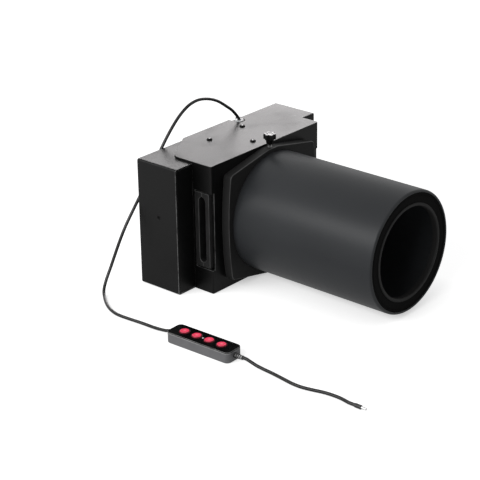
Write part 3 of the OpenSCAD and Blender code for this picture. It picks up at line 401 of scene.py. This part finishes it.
class Recipe:
    """A Geometry Nodes tree with named inputs, ending in one material."""

    def __init__(self, name, **inputs):
        self.tree = bpy.data.node_groups.new(name, "GeometryNodeTree")
        face = self.tree.interface
        face.new_socket("Geometry", in_out="INPUT", socket_type="NodeSocketGeometry")
        for label, kind in inputs.items():
            face.new_socket(
                label.replace("_", " "), in_out="INPUT", socket_type="NodeSocket" + kind)
        face.new_socket("Material", in_out="INPUT", socket_type="NodeSocketMaterial")
        face.new_socket("Geometry", in_out="OUTPUT", socket_type="NodeSocketGeometry")
        self.start = Signal(self.tree)
        self.group = self.tree.nodes.new("NodeGroupInput")

    def input(self, name):
        return Signal(self.tree, self.group.outputs[name])

    def end(self, geometry):
        real = geometry.node("GeometryNodeRealizeInstances", {}, {0: geometry})
        painted = real.node("GeometryNodeSetMaterial", {}, {
            "Geometry": real, "Material": self.input("Material")})
        last = self.tree.nodes.new("NodeGroupOutput")
        self.tree.links.new(painted.socket, last.inputs[0])

    def make(self, name, mesh, finish=None, **values):
        """Runs the tree on a mesh, and returns the finished piece."""
        piece = bpy.data.objects.new(name, mesh)
        bpy.context.scene.collection.objects.link(piece)
        run = piece.modifiers.new(name, "NODES")
        run.node_group = self.tree
        sockets = {
            item.name: item.identifier for item in self.tree.interface.items_tree
            if item.in_out == "INPUT"}
        for label, value in values.items():
            run[sockets[label.replace("_", " ")]] = value
        if finish is not None:
            run[sockets["Material"]] = finish.material
        return plain(piece)


def wired(name, points, edges=(), **attributes):
    """A mesh of points and edges for a recipe to work on."""
    mesh = bpy.data.meshes.new(name)
    mesh.from_pydata([tuple(point) for point in points], edges, [])
    for label, rows in attributes.items():
        layer = mesh.attributes.new(label, "FLOAT_VECTOR", "POINT")
        layer.data.foreach_set("vector", [number for row in rows for number in row])
    return mesh


turning = Recipe("turning", Centre="Float", Sides="Int")
profile = turning.start.node(
    "GeometryNodeMeshToCurve", {}, {"Mesh": turning.input("Geometry")})
circle = turning.start.node("GeometryNodeCurvePrimitiveCircle", {"mode": "RADIUS"}, {
    "Resolution": turning.input("Sides"), "Radius": turning.input("Centre")})
spun = turning.start.node("GeometryNodeCurveToMesh", {}, {
    "Curve": circle, "Profile Curve": profile})
turning.end(turning.start.node(
    "GeometryNodeMergeByDistance", {}, {"Geometry": spun, "Distance": 1e-7}))


def turned(name, corners, finish, sides, centre, solid=False, sharp=35, steps=4):
    """A piece turned about +Z, its profile swept round a circle of radius centre. Each corner is
    (radius, height, rounding), and a solid piece starts and ends on the axis."""
    outline = filleted(corners, steps)
    count = len(outline)
    edges = [(i, (i + 1) % count) for i in range(count - 1 if solid else count)]
    points = [(r - centre, -z, 0) for r, z in outline]
    piece = turning.make(name, wired(name, points, edges), finish, Centre=centre, Sides=sides)
    return smoothed(piece, sharp)


def smoothed(piece, sharp=35):
    """Closes a piece's seams, turns its faces outwards and shades it smooth between sharp edges."""
    shell = bmesh.new()
    shell.from_mesh(piece.data)
    bmesh.ops.remove_doubles(shell, verts=shell.verts, dist=1e-7)
    bmesh.ops.recalc_face_normals(shell, faces=shell.faces)
    shell.to_mesh(piece.data)
    shell.free()
    piece.data.shade_smooth()
    piece.data.set_sharp_from_angle(angle=math.radians(sharp))
    return piece


def placed(piece, where, toward=(0, 0, 1)):
    """Moves a piece made about +Z to its place, in its mesh."""
    swing = Vector((0, 0, 1)).rotation_difference(Vector(toward)).to_matrix().to_4x4()
    piece.data.transform(Matrix.Translation(where) @ swing)
    return piece


socketing = Recipe("socketing", Radius="Float", Depth="Float", Top="Float")
hexagon = socketing.start.node("GeometryNodeMeshCylinder", {}, {
    "Vertices": 6, "Radius": socketing.input("Radius"), "Depth": socketing.input("Depth") * 2})
raised = socketing.start.node("GeometryNodeTransform", {}, {
    "Geometry": hexagon,
    "Translation": socketing.start.node("ShaderNodeCombineXYZ", {}, {2: socketing.input("Top")})})
socketing.end(socketing.start.node("GeometryNodeMeshBoolean", {"operation": "DIFFERENCE"}, {
    0: socketing.input("Geometry"), 1: raised}))

setting = Recipe("setting", Piece="Object")
one = setting.start.node("GeometryNodeObjectInfo", {}, {0: setting.input("Piece")}, "Geometry")
turn = setting.start.node(
    "GeometryNodeInputNamedAttribute", {"data_type": "FLOAT_VECTOR"}, {"Name": "turn"})
setting.end(setting.start.node("GeometryNodeInstanceOnPoints", {}, {
    "Points": setting.input("Geometry"), "Instance": one, "Rotation": turn}))


def oxide(name, low, high, rough, metal):
    """Black oxide on steel: dark and faintly mottled, with pale bare steel on the marked socket
    faces: partly a key's wear, partly a painted glint that stands for the highlight on each head.
    """
    skin = Finish(name, Specular_IOR_Level=0.06)
    cloud, grain = skin.noise(900, 3), skin.noise(5200, 2)
    keyed = skin.start.node("ShaderNodeAttribute", {"attribute_name": "keyed"}, out="Fac")
    dark = skin.ramp(cloud, (0.3, shade(low)), (0.7, shade(high)))
    # the marked socket faces turn pale bare steel: a painted glint on the head as well as wear
    skin.feed(
        Base_Color=skin.mix(keyed, dark, shade(0.85)),
        Roughness=rough + (cloud - 0.5) * 0.2,
        Metallic=metal + (cloud - 0.5) * 0.2 + keyed * (1 - metal))
    return skin.bumps(grain, 0.000008)


def screw(name, head, socket, length, bright=False):
    """One screw about +Z, its head's underside or face on z = 0. Its head's corners start at the
    shank, and its socket, (radius, depth, top), may be made bright: a key's wear and a painted
    glint."""
    shank = head[0][0]
    tip = 0.3 * shank
    blank = turned(name + "_blank", [
        (0, -length, 0), (shank - tip, -length, 0), (shank, -length + tip, 0), *head,
        (0, head[-1][1], 0)],
        None, sides=36, centre=shank, solid=True, steps=3)
    radius, depth, top = socket
    cut = smoothed(socketing.make(
        name + "_one", blank.data, Radius=radius, Depth=depth, Top=top))
    # mark the socket faces that carry the painted glint
    keyed = cut.data.attributes.new("keyed", "FLOAT", "FACE")
    for face in cut.data.polygons:
        centre = face.center
        keyed.data[face.index].value = float(
            bright and top - depth * 1.1 < centre.z < top - 0.00005 and centre.xy.length < radius)
    return cut


def flush(name, head_r, socket_r, shank, length):
    """A countersunk screw whose face is level with what it holds."""
    broken = 0.00006
    return screw(
        name, [(shank, -0.0012, 0), (head_r, -broken, 0), (head_r - broken, 0, 0)],
        (socket_r, 0.0006, 0), length)


def screws(name, one, spots, node):
    """Sets one screw at each spot, (place, direction), each turned to where it was tightened."""
    turns = []
    for i, (_, toward) in enumerate(spots):
        swing = Vector((0, 0, 1)).rotation_difference(Vector(toward))
        turns.append((swing @ Quaternion((0, 0, 1), 0.7 * i + 0.3)).to_euler())
    piece = setting.make(
        name, wired(name, [place for place, _ in spots], turn=turns), screw_finish, Piece=one)
    one.hide_render = True
    settle(smoothed(piece), "adapter", node, screw_finish)


screw_finish = oxide("screw_finish", low=0.003, high=0.007, rough=0.36, metal=0.02)
button_head = screw(
    "button_head", [
        (0.0015, 0, 0), (0.00275, 0, 0.00012), (0.00272, 0.00055, 0.0002),
        (0.0024, 0.00112, 0.0004), (0.0017, 0.0015, 0.0002), (0.0013, 0.0015, 0)],
    socket=(0.0011, 0.0008, 0.0015), length=0.0055, bright=True)
foot_head_r = 0.0027
flush_head = flush("flush_head", head_r=0.0027, socket_r=0.0009, shank=0.0015, length=0.0125)
short_head = flush("short_head", head_r=foot_head_r, socket_r=0.0009, shank=0.0015, length=0.007)
small_head = flush("small_head", head_r=0.0018, socket_r=0.0006, shank=0.001, length=0.005)
tongue_spots = [
    ((x, y, tongue_top), (0, 0, 1))
    for x, y in ((-0.025, 0.0965), (0.022, 0.0965), (-0.0025, 0.062))]
rail_low, rail_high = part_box("rail_screws")
rail_y = (rail_low.y + rail_high.y) / 2
foot_spots = [
    ((x, rail_y, 0), (0, 0, -1)) for x in (rail_low.x + foot_head_r, rail_high.x - foot_head_r)]
screws("tongue_screws", button_head, tongue_spots, "top_screws")
screws("case_side_screws", small_head, case_side_spots, "side_screws")
screws("case_back_screws", flush_head, case_back_spots, "back_screws")
screws("stage_foot_screws", short_head, foot_spots, "rail_screws")
for one in (button_head, flush_head, short_head, small_head):
    bpy.data.objects.remove(one)


# Tube: drawn aluminium with a fine matte black coat, turned at both ends. It turns in the bore of
# a thick collar plate, which has six sides, two of them bowed, and broken edges.
axis_z = 0.0625
forward = (0, -1, 0)  # from the case towards the tube's mouth


def anodised(name, low, high, rough, **shader):
    """Matte black coat on turned aluminium: even, with a fine grain and hardly any clouds."""
    coat = Finish(name, **shader)
    cloud, grain = coat.noise(9, 2), coat.noise(2600, 2)
    lines = coat.noise(900, 2, coat.stretched((0.15, 1, 0.15)))
    coat.feed(
        Base_Color=coat.ramp(cloud + (grain - 0.5) * 0.35, (0.2, shade(low)), (0.8, shade(high))),
        Roughness=rough + (cloud - 0.5) * 0.08 + (lines - 0.5) * 0.06)
    return coat.bumps(grain + lines * 0.3, 0.00003)


tube_coat = anodised(
    "tube_coat", low=(0.024, 0.0256, 0.0278), high=(0.031, 0.033, 0.0358), rough=0.4,
    Specular_IOR_Level=0.2)
plate_coat = anodised("plate_coat", low=0.015, high=0.024, rough=0.5, Specular_IOR_Level=0.1)
# paler edge finish for the plate: partly wear, partly a painted highlight along its broken edges
plate_edge = edge_wear_and_sheen("plate_edge", low=0.014, high=0.034, rough=0.42)
cap_coat = anodised("cap_coat", low=0.0015, high=0.003, rough=0.6, Specular_IOR_Level=0.03)
tube_r, tube_bore_r, tube_l, tube_back_y = 0.058, 0.0555, 0.1667, 0.0477
tube = turned("lens_tube", [
    (tube_bore_r, 0, 0.0003), (tube_r, 0, 0.0003), (tube_r, tube_l, 0.002),
    (tube_bore_r, tube_l, 0.0003)],
    tube_coat, sides=256, centre=0.05, steps=6)
placed(tube, (0, tube_back_y, axis_z), forward)
settle(tube, "tube", "tube", tube_coat)
cap_r, cap_hole_r, cap_l, cap_back_y = 0.05545, 0.04605, 0.005, -0.1132
groove_r, groove_deep = 0.0529, 0.0003
cap = turned("front_cap", [
    (cap_hole_r, 0, 0.0002), (cap_r, 0, 0.0002), (cap_r, cap_l, 0.0004),
    (groove_r + groove_deep, cap_l, 0), (groove_r, cap_l - groove_deep, 0),
    (groove_r - groove_deep, cap_l, 0), (cap_hole_r, cap_l, 0.0002)],
    cap_coat, sides=192, centre=0.05)
placed(cap, (0, cap_back_y, axis_z), forward)
settle(cap, "tube", "end_cap", cap_coat)
hole_r, ring_r, ring_l = 0.043, 0.046, 0.0056
ring = turned("lens_hole_ring", [
    (hole_r, 0, 0.0002), (ring_r, 0, 0.0002), (ring_r, ring_l, 0.0005), (hole_r, ring_l, 0.001)],
    plate_coat, sides=192, centre=0.045, steps=5)
placed(ring, (0, cap_back_y, axis_z), forward)
settle(ring, "tube", "lens_ring", plate_coat)
dressed(
    "collar_plate", "tube_plate", plate_coat, "adapter", edge=0.0006, steps=3,
    paler_tone=plate_edge)


# Clamp screw: a black thermoplastic knob with six lobes, moulded on a zinc-plated stud that ends
# in a soft pad. It keeps the tube from turning in the collar plate.
def zinced(name, tone, rough):
    """Zinc plate: bright, with soft spangles and fine scratches."""
    skin = Finish(name, Specular_IOR_Level=0.5)
    spangle, scratch = skin.cells(700), skin.noise(600, 3, skin.stretched((1, 1, 0.05)))
    skin.feed(
        Base_Color=skin.ramp(spangle, (0.1, shade(tone, 0.86)), (0.9, shade(tone))),
        Roughness=rough + (scratch - 0.5) * 0.2, Metallic=0.95 - spangle * 0.1)
    return skin.bumps(scratch, 0.000006)


lobing = Recipe("lobing", Lobe_angle="Float", Core="Float", Lobe="Float", Foot="Float")
lobe_angle, core, lobe, foot = [
    lobing.input(name) for name in ("Lobe angle", "Core", "Lobe", "Foot")]
spot = lobing.start.node("GeometryNodeInputPosition")
x, y, z = [spot.node("ShaderNodeSeparateXYZ", {}, {0: spot}, axis) for axis in "XYZ"]
around = spot.math("ARCTAN2", y, x) + lobe_angle * 12.5
off = spot.math("MODULO", around, lobe_angle) - lobe_angle * 0.5
aside = spot.math("SINE", off) * core
bulge = spot.math("MAXIMUM", lobe * lobe - aside * aside, 0.0)
reach = spot.math("COSINE", off) * core + spot.math("SQRT", bulge)
share = spot.math("DIVIDE", spot.math("MAXIMUM", reach, core), core + lobe)
head = z.above(foot)
pull = share * head + (1 - head)
moved = spot.node("ShaderNodeCombineXYZ", {}, {0: x * pull, 1: y * pull, 2: z})
lobing.end(spot.node("GeometryNodeSetPosition", {}, {
    "Geometry": lobing.input("Geometry"), "Position": moved}))

knob_finish = moulded(
    "knob_finish", low=0.002, high=0.004, grain=2200, rough=0.34, relief=0.00001,
    Specular_IOR_Level=0.14)
# The top faces get a paler, glossier copy of the knob's plastic: a painted sheen where the top
# catches the light.
knob_face = moulded(
    "knob_face", low=0.015, high=0.025, grain=2200, rough=0.28, relief=0.00001,
    Specular_IOR_Level=0.5)
zinc = zinced("zinc", tone=0.6, rough=0.3)
# The stud's zinc is made far darker than the other zinc: painted shade where it stands under the
# knob's head.
stud_finish = zinced("stud_finish", tone=0.14, rough=0.16)
clamp_at = Vector((0, 0.0435, 0))
knob_low_z, head_low, head_high = 0.128, 0.005, 0.01
core_r, lobe_r = 0.0042, 0.0018
bore_r, bore_high, dish_r, dish_low = 0.00205, 0.0075, 0.003, 0.0097
knob_blank = turned("knob_blank", [
    (bore_r, 0, 0), (0.00288, 0, 0.0003), (core_r, head_low - 0.00006, 0),
    (core_r + lobe_r, head_low, 0.0004), (core_r + lobe_r, head_high, 0.0006),
    (dish_r + 0.0002, head_high, 0.0002), (dish_r, dish_low, 0.0002), (0, dish_low, 0),
    (0, bore_high, 0), (bore_r, bore_high, 0)],
    knob_finish, sides=120, centre=0.004)
knob = lobing.make(
    "clamp_knob_head", knob_blank.data, knob_finish,
    Lobe_angle=math.radians(60), Core=core_r, Lobe=lobe_r, Foot=head_low - 0.00003)
placed(smoothed(knob, 40), clamp_at + Vector((0, 0, knob_low_z)))
settle(knob, "clamp_knob", "clamp_knob", knob_finish)
knob.data.materials.append(knob_face.material)
face_low_z = knob_low_z + head_high - 0.001
# the top faces take the paler copy: the painted sheen
for face in knob.data.polygons:
    face.material_index = 1 if face.normal.z > 0.9 and face.center.z > face_low_z else 0
stud_low, stud_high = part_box("clamp_stem")
crest_r, root_r, nose_r, nose_high = 0.002, 0.00168, 0.001, stud_low.z + 0.0012
threads, pitch, first = 14, 0.0007, stud_low.z + 0.0014
ridges = [
    corner for i in range(threads) for corner in (
        (root_r, first + i * pitch, 0), (crest_r, first + (i + 0.5) * pitch, 0))]
stud = turned("clamp_stud", [
    (0, stud_low.z, 0), (nose_r, stud_low.z, 0), (nose_r, nose_high, 0), (0.0017, nose_high, 0),
    *ridges, (root_r, first + threads * pitch, 0), (crest_r, first + (threads + 0.4) * pitch, 0),
    (crest_r, stud_high.z, 0), (0, stud_high.z, 0)],
    stud_finish, sides=40, centre=0.002, solid=True, sharp=20)
placed(stud, clamp_at)
settle(stud, "clamp_knob", "clamp_stem", stud_finish)
pad_finish = moulded(
    "pad_finish", low=(0.62, 0.58, 0.48), high=(0.72, 0.68, 0.58), grain=2600, rough=0.5)
dressed("clamp_nose", "clamp_pad", pad_finish, "clamp_pad", edge=0.00015)


# Film carrier: two halves moulded in black plastic, held together by small magnets, with a slot
# for the film from end to end, and the rails on the stage that it slides between.
carrier_finish = moulded(
    "carrier_finish", low=0.009, high=0.014, grain=2400, rough=0.5, relief=0.00004,
    Specular_IOR_Level=0.22)
# paler edge finish for the carrier: partly wear, partly a painted highlight along its edges
carrier_edge = edge_wear_and_sheen("carrier_edge", low=0.025, high=0.06, rough=0.4)
rail_finish = moulded(
    "rail_finish", low=0.01, high=0.018, grain=2000, rough=0.5, relief=0.00004)
guide_finish = moulded(
    "guide_finish", low=0.006, high=0.011, grain=2600, rough=0.34, relief=0.00002)
for name, node in (("carrier_back", "carrier_base"), ("carrier_front", "carrier_cover")):
    dressed(
        name, node, carrier_finish, "carrier", edge=0.0004,
        paler_tone=carrier_edge)
dressed(
    "film_edge_guides", "film_guides", guide_finish, "carrier", edge=0.00008)
for name, node in (("rail_above", "upper_rail"), ("rail_below", "lower_rail")):
    dressed(name, node, rail_finish, "adapter", edge=0.0003)


# Gland: a pale nylon collar with a rounded lip, moulded in one piece. Its neck goes through the
# case's top to a nut inside, and its hole holds the cord.
gland_finish = moulded(
    "gland_finish", low=0.5, high=0.6, grain=2200, rough=0.38, Subsurface_Weight=0.05)
gland_low, gland_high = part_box("cable_gland")[0].z, gland_top[2]
cord_hole_r, neck_r, collar_r, lip_r = 0.00145, 0.0028, 0.0047, 0.004
gland = turned("cord_gland", [
    (cord_hole_r, gland_low, 0), (neck_r, gland_low, 0.0002), (neck_r, case_top, 0),
    (collar_r, case_top, 0.0001), (collar_r, gland_high - 0.0007, 0.0002),
    (lip_r, gland_high, 0.0003), (0.0019, gland_high, 0.0002),
    (cord_hole_r, gland_high - 0.0004, 0)],
    gland_finish, sides=96, centre=0.004)
placed(gland, (*gland_top[:2], 0))
settle(gland, "adapter", "cable_gland", gland_finish)


# Remote: a two-part moulded shell, grey below and glossy black above, with four silicone buttons
# with a painted glow, a pinhead status light, and ribbed rubber reliefs where the cord goes
# through.
shell_finish = moulded(
    "shell_finish", low=(0.115, 0.115, 0.12), high=(0.14, 0.14, 0.145), grain=1800, rough=0.36,
    relief=0.00002)
lid_finish = moulded(
    "lid_finish", low=0.003, high=0.006, grain=1600, rough=0.14, relief=0.000006,
    Specular_IOR_Level=0.2, Coat_Weight=0.1)
rubber = moulded("rubber", low=0.011, high=0.018, grain=2600, rough=0.42, relief=0.00002)
# Pale grey for the grooves between the reliefs' ribs: painted highlights, where bright ticks show
# between the ribs.
groove = moulded("groove", low=0.45, high=0.6, grain=2600, rough=0.3, relief=0.00002)
# paler edge finishes for the remote: partly wear, partly painted highlights and a painted glint at
# the lid's corner
shell_edge = edge_wear_and_sheen("shell_edge", low=0.17, high=0.24, rough=0.3)
lid_edge = edge_wear_and_sheen("lid_edge", low=0.02, high=0.1, rough=0.12)
dressed(
    "remote_shell", "remote_base", shell_finish, "adapter", edge=0.0006, steps=3,
    paler_tone=shell_edge)
dressed(
    "remote_cover", "remote_lid", lid_finish, "adapter", edge=0.00045, steps=3,
    paler_tone=lid_edge)


def painted_glow(name, middle, tone, rim_shade, glow):
    """Silicone with a painted glow, though no lamp sits under it: a painted highlight palest in the
    middle, and painted shade darkest at its rim.
    """
    skin = Finish(name, Emission_Strength=glow, Specular_IOR_Level=0.45)
    outward = skin.start.node("ShaderNodeAttribute", {"attribute_name": "outward"}, out="Fac")
    cloud = skin.noise(1100, 3)
    spread = outward + (cloud - 0.5) * 0.3
    stops = ((0.1, shade(middle)), (0.45, shade(tone)), (0.8, shade(tone)), (0.98, shade(rim_shade)))
    skin.feed(
        Base_Color=skin.ramp(spread, *stops), Emission_Color=skin.ramp(spread, *stops),
        Roughness=0.3 + (cloud - 0.5) * 0.14)
    return skin.bumps(skin.noise(2600, 2), 0.00001)


# red buttons with a painted glow, a painted highlight in the middle and painted shade at the rim
button_finish = painted_glow(
    "button_finish", middle=(0.88, 0.2, 0.24), tone=(0.9, 0.06, 0.13), rim_shade=(0.12, 0.002, 0.01),
    glow=0.38)
buttons = [f"push_button_{i + 1}" for i in range(4)]
first_button_y, button_gap, button_aside = 0.022, 0.0141, Vector((0.00025, 0, 0))
button_r, button_top, stem_r = 0.0045, remote_h + 0.0009, 0.0018
flange_r, flange_low, flange_high = 0.00545, 0.00835, 0.00913
for i, name in enumerate(buttons):
    node = f"button_{i + 1}"
    low_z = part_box(node)[0].z
    button = turned(name, [
        (0, low_z, 0), (stem_r, low_z, 0), (stem_r, flange_low, 0),
        (flange_r, flange_low, 0.0001), (flange_r, flange_high, 0.0001),
        (button_r, flange_high + 0.00002, 0), (button_r, button_top - 0.00025, 0.0006),
        (0.0036, button_top, 0.001), (0.0026, button_top, 0), (0.0018, button_top - 0.00012, 0),
        (0, button_top - 0.00016, 0)],
        button_finish, sides=64, centre=0.003, solid=True)
    outward = button.data.attributes.new("outward", "FLOAT", "POINT")
    for point in button.data.vertices:
        outward.data[point.index].value = min(point.co.xy.length / button_r, 1)
    placed(button, Vector(at_remote(first_button_y - button_gap * i, 0)) + button_aside)
    settle(button, node, node, button_finish)


def relief(name, length, toward, node):
    """A ribbed relief about the cord, with a neck through the shell's end wall."""
    root_r, tip_r, tip_l, stop_r, slack = 0.0017, 0.002, 0.001, 0.0024, 0.00001
    count = int((length - tip_l) / 0.002)
    rib = (length - tip_l) / count
    ribs = []
    for i in range(count):
        r, low, high = 0.0025 - 0.0005 * i / (count - 1), i * rib, (i + 0.6) * rib
        ribs += [
            (r, low + slack, 0.0002), (r, high, 0.0002), (root_r, high + slack, 0),
            (root_r, low + rib, 0)]
    sleeve = turned(name, [
        (0, -0.0025, 0), (stop_r, -0.0025, 0), (stop_r, -0.0015, 0), (root_r, -0.0015, 0),
        (root_r, 0, 0), *ribs, (tip_r, length - tip_l, 0.0002), (tip_r, length, 0.0003),
        (0, length, 0)],
        rubber, sides=48, centre=0.002, solid=True)
    settle(sleeve, "adapter", node, rubber)
    sleeve.data.materials.append(groove.material)
    # the sunk faces between the ribs take the pale grey: painted highlights
    for face in sleeve.data.polygons:
        sunk = face.center.xy.length < root_r + 0.00005
        face.material_index = int(0 < face.center.z < length and sunk)
    way = Vector(at_remote(1, 0)) - Vector(at_remote(0, 0))
    return placed(sleeve, at_remote(toward * remote_l / 2, remote_axis_z), way * toward)


relief("relief_up", relief_in_l, toward=1, node="relief_in")
relief_down = relief("relief_down", relief_out_l, toward=-1, node="relief_out")
clear = Finish("clear", Specular_IOR_Level=0.6, Emission_Strength=0.2)
clear.feed(
    Base_Color=clear.ramp(clear.noise(1500), (0.3, shade(0.75)), (0.7, shade(0.85))),
    Emission_Color=clear.ramp(clear.noise(1200), (0.3, shade(0.8)), (0.7, shade(0.95))),
    Roughness=0.15 + clear.noise(1700) * 0.1)
dressed("status_lens", "status_light", clear, "adapter", edge=0.0001)


# Plug: a slim rubbery sleeve with grip rings, moulded over the cord's end, and a turned and
# plated pin with a rounded tip.
plug_finish = moulded(
    "plug_finish", low=0.014, high=0.024, grain=2400, rough=0.32, relief=0.00002)
plated = zinced("plated", tone=0.7, rough=0.18)
grip_r, waist_r, grip_l = 0.0019, 0.00172, 0.008
grips = [
    (r, z + i * 0.0009, 0) for i in range(4) for r, z in (
        (grip_r, 0.0036), (waist_r, 0.00378), (waist_r, 0.00402), (grip_r, 0.0042))]
sleeve = turned("plug_grip", [
    (0, 0, 0), (0.0015, 0, 0), (grip_r, 0.0025, 0.0008), *grips, (grip_r, grip_l, 0.0003),
    (0, grip_l, 0)],
    plug_finish, sides=48, centre=0.002, solid=True, sharp=30)
placed(sleeve, plug_at, forward)
settle(sleeve, "adapter", "plug_sleeve", plug_finish)
pin_r, pin_l, ring_r = 0.0011, 0.005, 0.00098
pin = turned("plug_tip", [
    (0, 0, 0), (pin_r, 0, 0), (pin_r, 0.0034, 0), (ring_r, 0.00352, 0), (ring_r, 0.0037, 0),
    (pin_r, 0.00382, 0), (pin_r, pin_l, 0.0005), (0, pin_l, 0)],
    plated, sides=40, centre=0.001, solid=True, sharp=30)
placed(pin, Vector(plug_at) + Vector(forward) * grip_l, forward)
settle(pin, "adapter", "plug_pin", plated)


# Inside the case: the light source on its aluminium plate, the white box that spreads its light
# and the opal plate in the window, with the driver board and its lead beside them.
def paint(finish, *names):
    """Gives nodes whose shape is right a finish of their own."""
    for name in names:
        for place in nodes[name].material_slots:
            place.material = finish.material


def brushed(name, tone, rough, grain):
    """Rolled aluminium: long fine scratches one way, and a soft cloudiness."""
    skin = Finish(name, Metallic=0.9)
    scratch = skin.noise(grain, 3, skin.stretched((0.03, 1, 1)))
    paler_tone = scratch * 0.7 + skin.noise(30, 2) * 0.3
    skin.feed(
        Base_Color=skin.ramp(paler_tone, (0.3, shade(tone, 0.8)), (0.7, shade(tone))),
        Roughness=rough + (scratch - 0.5) * 0.25)
    return skin.bumps(scratch, 0.00001)


paint(brushed("bare_plate", tone=0.7, rough=0.34, grain=900), "heat_plate", "heat_spacers")
paint(zinc, "frame_brackets", "gland_nut", "case_nuts", "stage_screws", "plate_screws")
paint(moulded("white_wall", low=0.78, high=0.84, grain=700, rough=0.55), "reflector_box")
paint(moulded(
    "opal", low=(0.84, 0.84, 0.8), high=(0.88, 0.88, 0.85), grain=400, rough=0.4,
    relief=0.00002, Subsurface_Weight=0.2), "diffuser")


def board(name, mask, track, grain):
    """A circuit board: solder mask over copper tracks, with tinned pads."""
    skin = Finish(name, Specular_IOR_Level=0.5)
    lines = skin.start.node("ShaderNodeTexBrick", {"offset": 0.35}, {
        "Vector": skin.place, "Scale": grain, "Mortar Size": 0.03,
        "Color1": shade(0.0), "Color2": shade(0.0), "Mortar": shade(1.0)}, "Fac")
    pads = 1 - skin.cells(grain * 2.2).above(0.16)
    traced = skin.mix(lines, shade(mask), shade(track))
    skin.feed(
        Base_Color=skin.mix(pads, traced, shade(0.62)),
        Roughness=0.3 + skin.noise(600) * 0.15 + pads * 0.1, Metallic=pads * 0.8)
    return skin.bumps(lines + pads, 0.00003)


paint(
    board("green_board", mask=(0.012, 0.07, 0.03), track=(0.03, 0.13, 0.055), grain=240),
    "driver_board", "remote_board")
paint(
    board("white_board", mask=(0.8, 0.8, 0.78), track=(0.7, 0.7, 0.67), grain=120), "led_board")
chip = Finish("chip", Specular_IOR_Level=0.5)
phosphor = chip.cells(3200)
chip.feed(
    Base_Color=chip.ramp(phosphor, (0.1, (0.85, 0.62, 0.16)), (0.8, (0.9, 0.78, 0.35))),
    Roughness=0.4 + phosphor * 0.2)
chip.bumps(phosphor, 0.00002)
paint(chip, "led_chips")
paint(
    moulded("small_parts", low=0.03, high=0.06, grain=2000, rough=0.4),
    "driver_parts", "dome_switches")
paint(cord_finish, "inner_lead")
paint(zinced("magnet", tone=0.55, rough=0.2), "carrier_magnets", "carrier_discs")


# Studio: a plain pale floor that runs on to the horizon, an even white surround, a wide soft lamp
# behind the object on its right, which lights its tops, and a dimmer one on its left.
def surface(name, width, low_z):
    """A flat square about the origin."""
    mesh = bpy.data.meshes.new(name)
    half = width / 2
    mesh.from_pydata(
        [(-half, -half, low_z), (half, -half, low_z), (half, half, low_z), (-half, half, low_z)],
        [], [(0, 1, 2, 3)])
    piece = bpy.data.objects.new(name, mesh)
    bpy.context.scene.collection.objects.link(piece)
    return piece


def seen_straight(signal, in_gloss=1.0):
    """1 for a ray that the camera sends, straight or through glass, and in_gloss for a mirrored
    one."""
    straight, gloss, through = [
        signal.node("ShaderNodeLightPath", out=name)
        for name in ("Is Camera Ray", "Is Glossy Ray", "Is Transmission Ray")]
    return signal.math("MAXIMUM", signal.math("MAXIMUM", straight, through), gloss * in_gloss)


floor = surface("floor", width=40, low_z=-0.0002)
paper = bpy.data.materials.new("paper")
paper.use_nodes = True
tree = paper.node_tree
tree.nodes.clear()
paper_start = Signal(tree)
matte = paper_start.node("ShaderNodeBsdfDiffuse", {}, {
    "Color": paper_start.node("ShaderNodeValToRGB", {"stops": (
        (0.3, shade(0.84)), (0.7, shade(0.86)))}, {0: paper_start.node(
            "ShaderNodeTexNoise", {}, {"Scale": 3.0})})})
# The glow dims where the object hems the floor in: a painted contact shadow, over the lamps' real
# shadows.
open_to_sky = paper_start.node(
    "ShaderNodeAmbientOcclusion", {"samples": 8}, {"Distance": 0.05}, "AO")
glow = paper_start.node("ShaderNodeEmission", {}, {
    "Color": shade(1.0),
    "Strength": seen_straight(paper_start, 0.3) * (open_to_sky * 0.37 + 0.46)})
whole = paper_start.node("ShaderNodeAddShader", {}, {0: matte, 1: glow})
tree.links.new(whole.socket, tree.nodes.new("ShaderNodeOutputMaterial").inputs["Surface"])
floor.data.materials.append(paper)

sky = bpy.data.worlds.new("surround")
sky.use_nodes = True
tree = sky.node_tree
tree.nodes.clear()
sky_start = Signal(tree)
level = sky_start.node("ShaderNodeBackground", {}, {
    "Color": shade(1.0), "Strength": seen_straight(sky_start) * 0.78 + 0.22})
tree.links.new(level.socket, tree.nodes.new("ShaderNodeOutputWorld").inputs["Surface"])
bpy.context.scene.world = sky


def softbox(name, place, aim, width, height, strength, tone=(1, 1, 1)):
    """A rectangular lamp at a place, turned towards another."""
    lamp = bpy.data.lights.new(name, "AREA")
    lamp.shape, lamp.size, lamp.size_y = "RECTANGLE", width, height
    lamp.energy, lamp.color = strength, tone
    stand = bpy.data.objects.new(name, lamp)
    bpy.context.scene.collection.objects.link(stand)
    stand.location = place
    stand.rotation_mode = "QUATERNION"
    stand.rotation_quaternion = (Vector(aim) - Vector(place)).to_track_quat("-Z", "Y")
    return stand


middle = Vector((0, 0, 0.06))
back_lamp = softbox(
    "back_lamp", (1.99, 1.0, 1.02), middle, width=1.9, height=1.3, strength=38,
    tone=(1, 0.97, 0.975))
back_lamp.visible_diffuse = False
lit_tops = bpy.data.collections.new("lit_tops")
for name in (
        "case_body", "case_panel", "film_stage", "tongue_screws", "clamp_knob_head", "cord_gland",
        "cord_from_case", "cord_to_plug", "remote_cover", "remote_shell", "relief_down",
        "plug_grip", "plug_tip", *buttons):
    lit_tops.objects.link(bpy.data.objects[name])
back_lamp.light_linking.receiver_collection = lit_tops
softbox("left_lamp", (-1.65, 0.3, 1.05), middle, width=2.4, height=0.7, strength=30)
